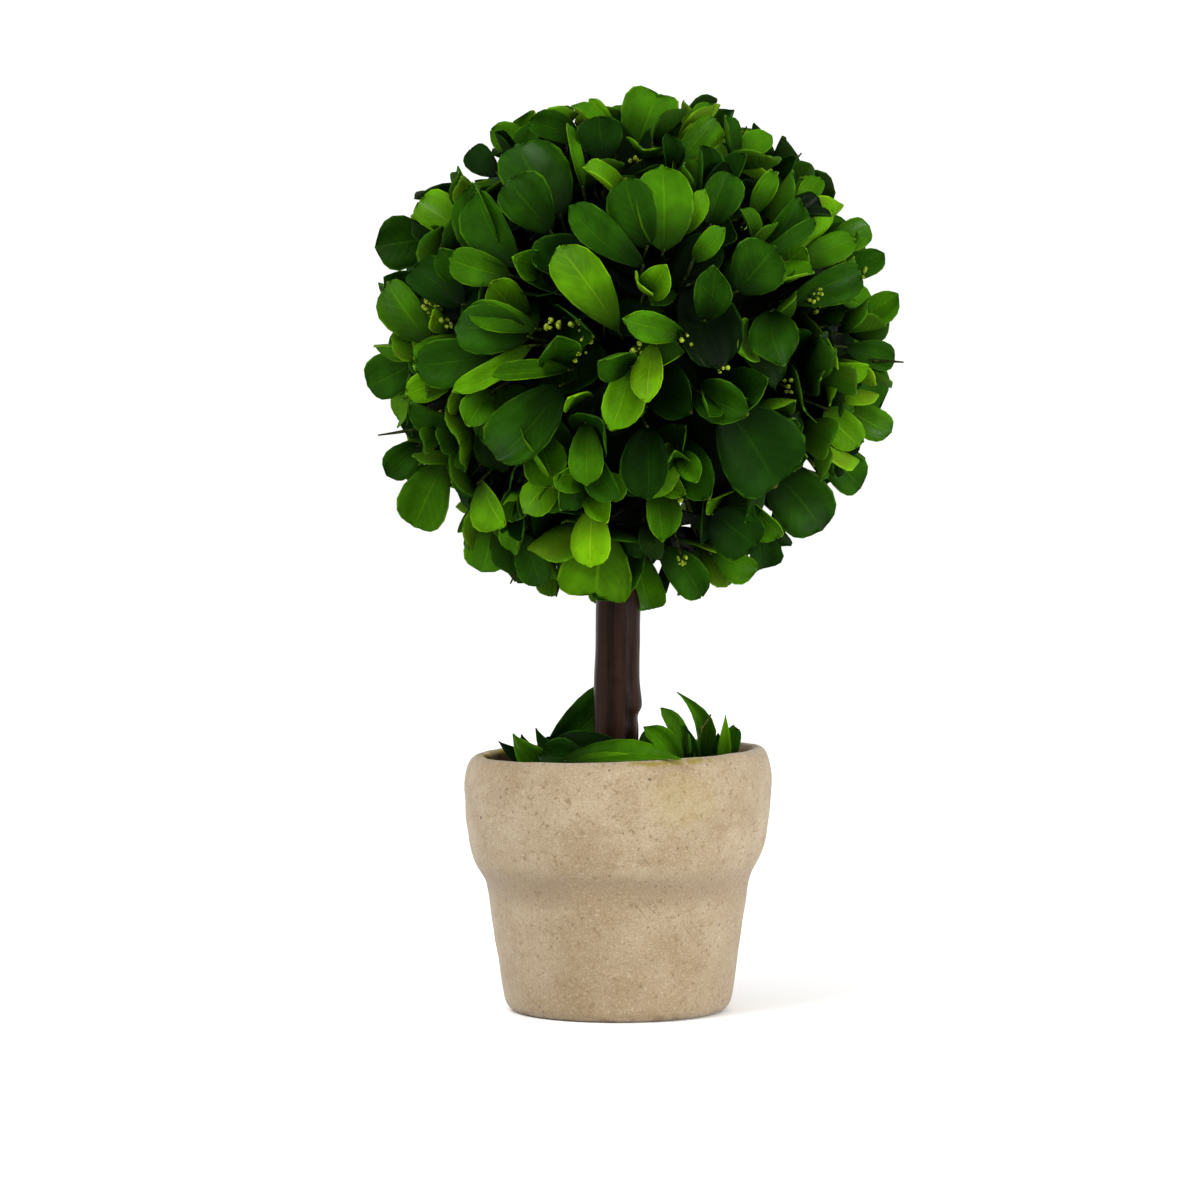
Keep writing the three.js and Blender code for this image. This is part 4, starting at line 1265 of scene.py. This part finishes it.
    def _bud_shells(self) -> tuple[Shell, Shell]:
        """The buds of each cluster, and the short stems that hold them."""
        rng = np.random.default_rng(41)
        low, high = self.bud_depths
        front = [self._on_front(across, up, high) for across, up in self.buds]
        around = spiral(self.bud_clusters) * rng.uniform(low, high, self.bud_clusters)[:, None]
        off_stick = np.hypot(around[:, 0] + self.centre[0], around[:, 1])
        clear = (around[:, 1] > self.bud_front) & (off_stick > self.bud_berth)
        clusters = np.concatenate([np.array(front), around[clear]])
        outward = np.repeat(unit(clusters), self.buds_each, axis=0)
        spread = rng.normal(0.0, self.bud_spread, outward.shape)
        rise = rng.uniform(0.0, 1.4, len(outward))[:, None]
        centres = np.repeat(clusters, self.buds_each, axis=0) + spread + outward * rise
        radii = rng.uniform(*self.bud_radii, len(centres))
        heads = unit(outward + rng.normal(0.0, 0.5, outward.shape))
        feet = clusters * (self.core_radius - 1.5) / np.linalg.norm(clusters, axis=1, keepdims=True)
        stems = tubes(feet + self.centre, clusters + self.centre, np.full(len(feet), self.stem_radius),
                      0.8, 0.05, 8)
        return balls(centres + self.centre, radii, heads), stems

    def _stray_shell(self) -> Shell:
        """Narrow dry tips that stand out of the outline."""
        ends = np.array([unit(np.array([across, -3.0, up])) * reach for across, up, reach in self.strays])
        starts = ends * self.stray_root + np.random.default_rng(5).normal(0.0, 0.9, ends.shape)
        radii = np.full(len(ends), self.stray_radius)
        return tubes(starts + self.centre, ends + self.centre, radii, 0.25, 0.03, 3)

    def build(self, greens: Materials) -> None:
        """Grows the ball and makes its pieces.

        Args:
            greens: the leaves' materials, in the order of the tones.
        """
        foliage = self.grow()
        foliage.blades(self.centre, 11).shell().piece("ball_leaves", "leaf_ball", "leaf", greens)
        starts, ends, radii = (np.array(column) for column in zip(*foliage.twigs))
        twigs = tubes(starts + self.centre, ends + self.centre, radii, 0.7, 0.04, 17)
        buds, stems = self._bud_shells()
        rest = {
            "ball_twigs": (Shell.joined([twigs, stems, self._stray_shell()]),
                           StemFinish("twig_bark", (14, 20, 5), (46, 58, 14))),
            "ball_buds": (buds, StemFinish("bud_skin", (84, 104, 14), (156, 176, 56))),
            # The core's near-black colour is painted shade for the dense foliage deep inside the ball.
            "ball_core": (self._core(), CrumbFinish("ball_core", (3, 8, 2), (12, 20, 6), 1.6)),
        }
        for name, (shell, finish) in rest.items():
            shell.piece(name, "leaf_ball", "leaf", [finish.made()])


# ---------------------------------------------------------------- pot, fill and stick

@dataclass
class Slope:
    """The rim stands higher on the right: z rises by a share of x, more and more up the pot."""

    rise: float = 0.032
    top: float = 36.0

    def lifted(self, points: Array) -> Array:
        """Points with the slope added."""
        extra = points[..., 0] * self.rise * smooth(points[..., 2], 0.0, self.top)
        return points + extra[..., None] * np.array([0.0, 0.0, 1.0])


@dataclass
class Pot:
    """The hand-thrown pot: a tapering body, a soft step, a swelling band and a rounded lip."""

    foot_radius: float = 18.9
    foot_corner: float = 2.4
    waist_radius: float = 21.8
    waist_height: float = 21.1
    band_foot_radius: float = 24.2
    band_foot_height: float = 26.4
    band_radius: float = 25.5
    band_height: float = 37.5
    lip_radius: float = 23.4
    lip_height: float = 43.1
    mouth_radius: float = 21.4
    mouth_height: float = 41.2
    inner_foot_radius: float = 15.6
    floor: float = 5.0
    # How far each curve's handle stands off, outwards and up.
    foot_handle: float = 0.4
    waist_handle: Span = (0.3, 2.2)
    band_foot_handle: Span = (0.6, 2.4)
    band_handle: Span = (0.1, 6.0)
    lip_handle: float = 0.4
    mouth_handle: float = 0.3
    pole: float = 0.5
    around: int = 176
    broad: Relief = Relief(2, 14.0, 46.0)
    dents: Relief = Relief(9, 3.4, 9.0)
    throwing: float = 5.2
    # How deep the broad unevenness, the dents and the throwing marks go.
    depths: Point = (0.12, 0.08, 0.03)
    slope: Slope = field(default_factory=Slope)

    def _outline(self) -> Array:
        """Radius and height from the underside's middle, up the outside, over the lip and down."""
        corner, rounded = (self.foot_radius - self.foot_corner, 0.0), (self.foot_radius, self.foot_corner)
        waist = (self.waist_radius, self.waist_height)
        band_foot = (self.band_foot_radius, self.band_foot_height)
        band, lip = (self.band_radius, self.band_height), (self.lip_radius, self.lip_height)
        mouth, well = (self.mouth_radius, self.mouth_height), (self.inner_foot_radius, self.floor)
        waist_pull = (waist[0] + self.waist_handle[0], waist[1] + self.waist_handle[1])
        foot_pull = (band_foot[0] - self.band_foot_handle[0], band_foot[1] - self.band_foot_handle[1])
        runs = [
            bezier([(self.pole, 0.0), corner], 5),
            bezier([corner, (self.foot_radius - self.foot_handle, 0.0), rounded], 6),
            bezier([rounded, waist], 22),
            bezier([waist, waist_pull, foot_pull, band_foot], 12),
            bezier([band_foot, (band[0] - self.band_handle[0], band[1] - self.band_handle[1]), band], 14),
            bezier([band, (band[0], lip[1] - self.lip_handle), lip], 10),
            bezier([lip, (mouth[0] + self.mouth_handle, lip[1]), mouth], 6),
            bezier([mouth, well], 14),
            bezier([well, (self.pole, self.floor)], 4),
            np.array([(self.pole, self.floor)]),
        ]
        return np.concatenate(runs)

    def _shell(self) -> Shell:
        """The outline spun round the axis, then made uneven along its own outward direction.

        Returns:
            The shell, its inside from the lip down in the second slot.
        """
        outline = self._outline()
        turn = turns(self.around)
        run = np.gradient(outline, axis=0)
        out = unit(np.stack([run[:, 1], -run[:, 0]], axis=1))
        points, heads = spun(outline, turn), spun(out, turn)
        broad = self.broad.at(points)
        throwing = np.sin(points[..., 2] * 2.0 * math.pi / self.throwing + broad * 2.0)
        broad_depth, dent_depth, throwing_depth = self.depths
        uneven = broad * broad_depth + self.dents.at(points) * dent_depth + throwing * throwing_depth
        uneven = uneven * smooth(points[..., 2], 0.2, 3.0) * (outline[:, :1] > 1.0)
        shell = Shell.grid(self.slope.lifted(points + heads * uneven[..., None]), caps=True)
        inside = int(np.argmax(outline[:, 1])) + 2
        shell.slots[0][inside * self.around:] = 1
        shell.slots[2][:] = 1
        return shell

    def build(self) -> None:
        """Makes the pot."""
        # The inside from the lip down is the same clay without sheen and with little shine.
        clays = [ClayFinish().made(), ClayFinish("clay_inside", dust=0.0, shine=0.03).made()]
        self._shell().piece("clay_pot", "pot", "clay", clays)


@dataclass
class Fill:
    """The hard rough fill that holds the stick, below the lip."""

    edge: float = 38.0
    crown: float = 38.8
    bottom: float = 5.3
    gap: float = 0.3
    pole: float = 0.6
    roughness: float = 0.45
    pot: Pot = field(default_factory=Pot)

    def _wall(self, height: float) -> float:
        """The radius of the fill where it meets the pot's inner wall."""
        share = (height - self.pot.floor) / (self.pot.mouth_height - self.pot.floor)
        wide, narrow = self.pot.mouth_radius, self.pot.inner_foot_radius
        return narrow + (wide - narrow) * share - self.gap

    def build(self) -> None:
        """Spins the fill's outline round the axis and roughens its top by up to 0.6 mm."""
        radii = np.linspace(self._wall(self.edge), self.pole, 30)
        heights = self.edge + (self.crown - self.edge) * smooth(radii, radii[0], radii[0] * 0.55)
        wall = bezier([(self._wall(self.bottom), self.bottom), (self._wall(self.edge), self.edge)], 10)
        base = bezier([(self.pole, self.bottom), (self._wall(self.bottom), self.bottom)], 3)
        outline = np.concatenate([base, wall, np.stack([radii, heights], axis=1)])
        points = spun(outline, turns(120))
        rough = Relief(6, 1.2, 6.0).at(points) * smooth(points[..., 2], self.edge - 1.0, self.edge - 0.1)
        points[..., 2] += rough * self.roughness
        shell = Shell.grid(self.pot.slope.lifted(points), caps=True)
        crust = CrumbFinish("fill_crust", (66, 52, 38), (132, 112, 84), 1.4).made()
        shell.piece("fill_crust", "fill", "fill", [crust])


@dataclass
class Stick:
    """The bare stick: a slight taper and lean, long fine ridges, and a burr low on its right."""

    bottom: float = 17.0
    tip: float = 96.0
    bare: Span = (39.0, 72.0)
    foot_radius: float = 3.87
    tip_radius: float = 3.55
    lean: float = 0.02
    plumb_height: float = 65.0
    burr_height: float = 50.6
    burr_rise: float = 0.525
    # How far the burr tapers off above and below, and the notch 2 mm under it: depth and span.
    burr_spans: Span = (3.52, 0.9)
    notch: Span = (0.16, 0.9)
    ridge_height: float = 0.07
    bump_height: float = 0.08

    def build(self) -> None:
        """Rings up the stick, each with the ridges and the burr added to its radius."""
        low, high = self.bare
        heights = np.concatenate([np.linspace(self.bottom, low - 1.0, 12), np.linspace(low, high, 100),
                                  np.linspace(high + 1.0, self.tip, 12)])[:, None]
        turn = turns(72)[None, :]
        share = (heights - self.bottom) / (self.tip - self.bottom)
        radius = self.foot_radius + (self.tip_radius - self.foot_radius) * share
        base = spun(np.concatenate([radius, heights], axis=1), turn)
        ridges = Relief(12, 0.9, 3.0).at(base * np.array([1.0, 1.0, 0.05])) * self.ridge_height
        bumps = Relief(14, 4.0, 12.0).at(base) * self.bump_height
        right = np.maximum(0.0, np.cos(turn))
        above = (heights - self.burr_height) / np.where(heights > self.burr_height, *self.burr_spans)
        burr = self.burr_rise * right * np.exp(-above * above)
        depth, span = self.notch
        notch = -depth * right ** 2 * np.exp(-((heights - self.burr_height + 2.0) / span) ** 2)
        new_radius = radius + ridges + bumps
        x = new_radius * np.cos(turn) + burr + notch + (heights - self.plumb_height) * self.lean
        points = np.stack([x, new_radius * np.sin(turn), base[..., 2]], axis=-1)
        Shell.grid(points, caps=True).piece("stick", "trunk", "bark", [BarkFinish().made()])


# ---------------------------------------------------------------- leaves round the stick's foot

@dataclass
class FootLeaves:
    """Loose leaves that stand and lie round the stick's foot, on a bed of leaf litter."""

    litter_inner: float = 4.7
    litter_outer: float = 19.6
    low: float = 39.1
    rise: float = 1.6
    litter_leaves: int = 170
    back_leaves: int = 12
    back_seed: int = 5
    back_foot: float = 40.2
    back_turns: Span = (15.0, 150.0)
    back_reach: Span = (9.0, 15.0)
    back_width: Span = (3.0, 5.4)
    back_roll: Span = (-50.0, 50.0)
    back_rise: Span = (2.5, 5.0)
    litter_reach: Span = (6.5, 17.2)
    litter_length: Span = (3.5, 6.0)
    stalk_radius: float = 0.35
    slope: Slope = field(default_factory=Slope)
    # Root x, y, z, tip x, y, z, width, roll in degrees, bend, sweep, 1 where the tip is pointed, tone.
    leaves: Table = (
        (-11.6, 5.0, 42.2, 1.4, 7.0, 53.4, 7.6, 0, 0.15, 0.1, 0, 2),
        (-8.0, 3.0, 40.6, -13.9, 3.6, 46.5, 3.0, 0, 0.3, -0.5, 1, 1),
        (-11.6, -4.0, 40.4, -17.5, -4.4, 46.2, 5.2, 0, 0.2, -0.5, 1, 3),
        (-14.0, 1.0, 40.8, -20.0, 1.2, 44.4, 2.6, 0, 0.3, -0.2, 1, 0),
        (-5.0, -6.6, 41.0, -12.8, -9.0, 43.0, 6.4, 0, -0.4, 0.3, 0, 1),
        (4.0, -7.0, 42.2, -12.4, -8.8, 42.4, 9.0, -12, -0.3, 0.1, 0, 0),
        (-9.2, -13.6, 42.6, 10.4, -23.4, 42.9, 5.2, -24, 0.1, -0.3, 1, 3),
        (-7.6, -15.4, 42.2, 6.4, -20.4, 42.8, 3.0, -14, 0.0, -0.1, 1, 4),
        (10.8, -4.4, 40.0, 4.0, -3.6, 47.2, 4.2, 10, 0.2, 0.3, 0, 3),
        (11.4, -2.4, 40.0, 6.6, -1.8, 50.4, 3.6, 20, 0.2, 0.4, 0, 3),
        (12.4, -1.6, 40.0, 10.6, -1.0, 47.4, 2.6, 20, 0.3, 0.3, 1, 1),
        (13.6, 0.4, 40.0, 9.7, 1.0, 52.8, 3.7, 0, 0.1, 0.8, 1, 3),
        (6.2, 4.6, 40.0, 4.8, 5.2, 46.6, 5.0, 0, 0.2, 0.0, 0, 2),
        (15.4, 4.2, 40.0, 16.8, 5.0, 45.6, 4.4, 0, 0.3, 0.3, 1, 1),
        (17.4, -1.4, 40.3, 17.8, -1.6, 49.2, 2.4, 0, 0.1, 0.0, 1, 4),
        (18.4, 1.6, 40.3, 19.2, 1.8, 47.4, 3.8, 0, 0.3, -0.2, 0, 2),
    )

    @staticmethod
    def _facing(along: Array, roll: float) -> Array:
        """A leaf's face: forwards and a little up, square to the leaf, then rolled."""
        face = np.array([0.0, -1.0, 0.35])
        return swung(unit(face - along * (face @ along)), along, roll)

    def _standing(self) -> list[tuple[Array, Array, float, float, float, float, bool, int]]:
        """Root, tip, width, roll, bend, sweep, pointed and tone of each standing leaf."""
        rows = [(np.array(row[:3]), np.array(row[3:6]), *row[6:10], bool(row[10]), int(row[11]))
                for row in self.leaves]
        draws = Draws(self.back_seed)
        tones = Draws(self.back_seed + 8)
        first, span = self.back_turns
        for i in range(self.back_leaves):
            turn = math.radians(first + span * (i + draws.next()) / self.back_leaves)
            reach = draws.between(*self.back_reach)
            root = np.array([math.cos(turn) * reach, math.sin(turn) * reach, self.back_foot])
            rise = np.array([draws.between(-3.0, 3.0), draws.between(0.0, 3.0),
                             draws.between(*self.back_rise)])
            width, roll = draws.between(*self.back_width), draws.between(*self.back_roll)
            rows.append((root, root + rise, width, roll, tones.between(-0.6, 0.6), tones.between(-0.4, 0.4),
                         tones.next() < 0.5, int(tones.between(0.0, 4.0))))
        return rows

    def _blades(self) -> Blades:
        """The standing leaves as arrays."""
        columns = (np.array(column) for column in zip(*self._standing()))
        root, tip, width, roll, bend, sweep, pointed, tone = columns
        along = unit(tip - root)
        face = np.array([self._facing(head, turn) for head, turn in zip(along, roll)])
        return Blades(root=root, along=along, side=np.cross(face, along), face=face,
                      length=np.linalg.norm(tip - root, axis=1), width=width, tone=tone, seed=31,
                      bend=bend, sweep=sweep, pointed=pointed,
                      rows=(0.0, 0.1, 0.24, 0.4, 0.56, 0.7, 0.82, 0.92, 1.0))

    def _litter(self) -> Blades:
        """Small leaves that lie flat on the bed, one over another, turned every way."""
        rng = np.random.default_rng(19)
        count = self.litter_leaves
        turn = rng.uniform(0.0, 2.0 * math.pi, count)
        reach = np.sqrt(rng.uniform(*(limit ** 2 for limit in self.litter_reach), count))
        level = self.low + self.rise + rng.uniform(-0.9, 0.7, count)
        middle = np.stack([reach * np.cos(turn), reach * np.sin(turn), level], axis=1)
        heading = rng.uniform(0.0, 2.0 * math.pi, count)
        tilt = rng.normal(0.0, 0.16, count)
        along = unit(np.stack([np.cos(heading), np.sin(heading), tilt], axis=1))
        face = np.stack([rng.normal(0.0, 0.2, count), rng.normal(0.0, 0.2, count), np.ones(count)], axis=1)
        face = unit(face - along * np.sum(face * along, axis=1, keepdims=True))
        length = rng.uniform(*self.litter_length, count)
        return Blades(root=self.slope.lifted(middle) - along * length[:, None] / 2.0, along=along,
                      side=np.cross(face, along), face=face, length=length,
                      width=length * rng.uniform(0.4, 0.6, count),
                      tone=rng.choice(4, count, p=[0.35, 0.35, 0.2, 0.1]), seed=37,
                      pointed=rng.uniform(size=count) < 0.5, rows=(0.0, 0.25, 0.55, 0.82, 1.0),
                      columns=(-1.0, 0.0, 1.0))

    def _bed(self) -> Shell:
        """The litter's own ground: a ring whose outline closes on itself, roughened on top."""
        high = self.low + self.rise
        outline = np.concatenate([
            bezier([(self.litter_inner, self.low), (self.litter_outer, self.low)], 6),
            bezier([(self.litter_outer, self.low), (self.litter_outer - 1.0, high - 0.5)], 3),
            bezier([(self.litter_outer - 1.0, high - 0.5), (self.litter_inner + 2.0, high)], 16),
            bezier([(self.litter_inner + 2.0, high), (self.litter_inner, self.low)], 3),
        ])
        points = spun(outline, turns(110))
        rough = Relief(21, 1.0, 5.0).at(points) * smooth(points[..., 2], self.low, high - 0.4)
        points[..., 2] += rough * 0.4 - 0.2 * smooth(points[..., 2], self.low, high)
        points = self.slope.lifted(points)
        shell = Shell.grid(np.concatenate([points, points[:1]], axis=0))
        size = len(points) * points.shape[1]
        shell.faces = [part % size for part in shell.faces]
        shell.points = shell.points[:size]
        return shell

    def build(self, greens: Materials) -> None:
        """Makes the bed, the litter, the standing leaves and their stalks.

        Args:
            greens: the leaves' materials, in the order of the tones.
        """
        standing = self._blades()
        leaves = Shell.joined([standing.shell(), self._litter().shell()])
        leaves.piece("foot_leaves_loose", "foot_leaves", "foot_leaf", greens)
        feet = standing.root * np.array([1.0, 1.0, 0.0]) + np.array([0.0, 0.0, self.low + 0.4])
        ends = standing.root + standing.along * 0.8
        stray_feet = np.array([[13.6, -0.6, 46.6], [13.0, 2.0, 40.0]])
        stray_ends = np.array([[15.4, -1.2, 49.2], [13.8, -0.8, 47.0]])
        stray = tubes(stray_feet, stray_ends, np.array([0.24, 0.3]), 0.6, 0.06, 4)
        stalks = Shell.joined([tubes(feet, ends, np.full(len(feet), self.stalk_radius), 0.8, 0.02, 2), stray])
        stalk_skin = StemFinish("stalk_skin", (40, 44, 18), (104, 108, 46)).made()
        stalks.piece("foot_stalks", "foot_leaves", "foot_leaf", [stalk_skin])
        bed = CrumbFinish("litter_bed", (10, 12, 5), (46, 42, 22), 1.1).made()
        self._bed().piece("litter_bed", "foot_leaves", "foot_leaf", [bed])


# ---------------------------------------------------------------- studio

@dataclass
class Studio:
    """A pale floor, soft lights and the camera."""

    camera_height: float = 0.107
    camera_distance: float = 0.8
    focal_pixels: float = 4832.0
    frame_pixels: float = 1200.0
    # How far the middle of the frame lies to the left of the pot's axis, and below the camera.
    aim_pixels: Span = (18.0, 234.8)
    sensor: float = 36.0
    surround: float = 1.04
    aim_height: float = 0.09
    floor_half: float = 3.0
    # Each lamp's name, place, size and power.
    lamps: tuple[tuple[str, Point, float, float], ...] = (
        ("key", (-0.45, -0.45, 0.78), 0.5, 6.0),
        ("side", (0.8, -0.5, 0.25), 0.3, 6.2),
    )

    @staticmethod
    def _placed(name: str, data: Any, place: Point, aim: Vector) -> bpy.types.Object:
        """A lamp or a camera at a place, looking along an aim."""
        thing = bpy.data.objects.new(name, data)
        bpy.context.scene.collection.objects.link(thing)
        thing.location = place
        thing.rotation_euler = aim.to_track_quat("-Z", "Y").to_euler()
        return thing

    def _lamp(self, name: str, place: Point, size: float, power: float) -> None:
        """A square soft light that looks at the plant."""
        light = bpy.data.lights.new(name, "AREA")
        light.shape = "SQUARE"
        light.size = size
        light.energy = power
        self._placed(name, light, place, Vector((0.0, 0.0, self.aim_height)) - Vector(place))

    def _floor(self) -> None:
        """A large pale floor under the pot."""
        graph = Graph("pale_floor")
        dust = graph.noise(graph.place(), 60.0)
        colour = graph.mix(dust, (0.95, 0.95, 0.95, 1.0), (0.98, 0.98, 0.98, 1.0))
        material = graph.finish(Base_Color=colour, Roughness=0.9, Specular_IOR_Level=0.1)
        half = self.floor_half
        mesh = bpy.data.meshes.new("floor")
        corners = [(-half, -half, 0.0), (half, -half, 0.0), (half, half, 0.0), (-half, half, 0.0)]
        mesh.from_pydata(corners, [], [(0, 1, 2, 3)])
        mesh.materials.append(material)
        floor = bpy.data.objects.new("floor", mesh)
        bpy.context.scene.collection.objects.link(floor)

    def _world(self) -> None:
        """A white surround that lights the plant softly from everywhere."""
        world = bpy.data.worlds.new("surround")
        bpy.context.scene.world = world
        graph = Graph("surround", world)
        white = {"Color": (1.0, 1.0, 1.0, 1.0), "Strength": self.surround}
        ground = graph.node("ShaderNodeBackground", {}, white)
        graph.node("ShaderNodeOutputWorld", {}, {"Surface": ground}, output=None)

    def _camera(self) -> None:
        """The camera: level with the ball's foot, looking a little down."""
        data = bpy.data.cameras.new("camera")
        data.sensor_width = self.sensor
        data.lens = self.sensor * self.focal_pixels / self.frame_pixels
        data.clip_start, data.clip_end = 0.01, 10.0
        place = (0.0, -self.camera_distance, self.camera_height)
        across, down = self.aim_pixels
        aim = Vector((-across / self.focal_pixels, 1.0, -down / self.focal_pixels))
        bpy.context.scene.camera = self._placed("camera", data, place, aim)

    def build(self) -> None:
        """Sets up the camera, the floor, the surround and the lights."""
        self._camera()
        self._floor()
        self._world()
        for lamp in self.lamps:
            self._lamp(*lamp)
        bpy.context.scene.view_settings.view_transform = "Standard"
        bpy.context.scene.view_settings.look = "None"


def main() -> None:
    """Builds the studio and the plant in order."""
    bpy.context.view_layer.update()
    for maker in (Studio(), Pot(), Fill(), Stick()):
        maker.build()
        log.info("built %s", type(maker).__name__)
    greens = [LEAF_FINISHES[tone].made() for tone in Tone]
    for grower in (LeafBall(), FootLeaves()):
        grower.build(greens)
        log.info("built %s", type(grower).__name__)


if __name__ == "__main__":
    logging.basicConfig(level=logging.INFO, format="%(message)s")
    main()
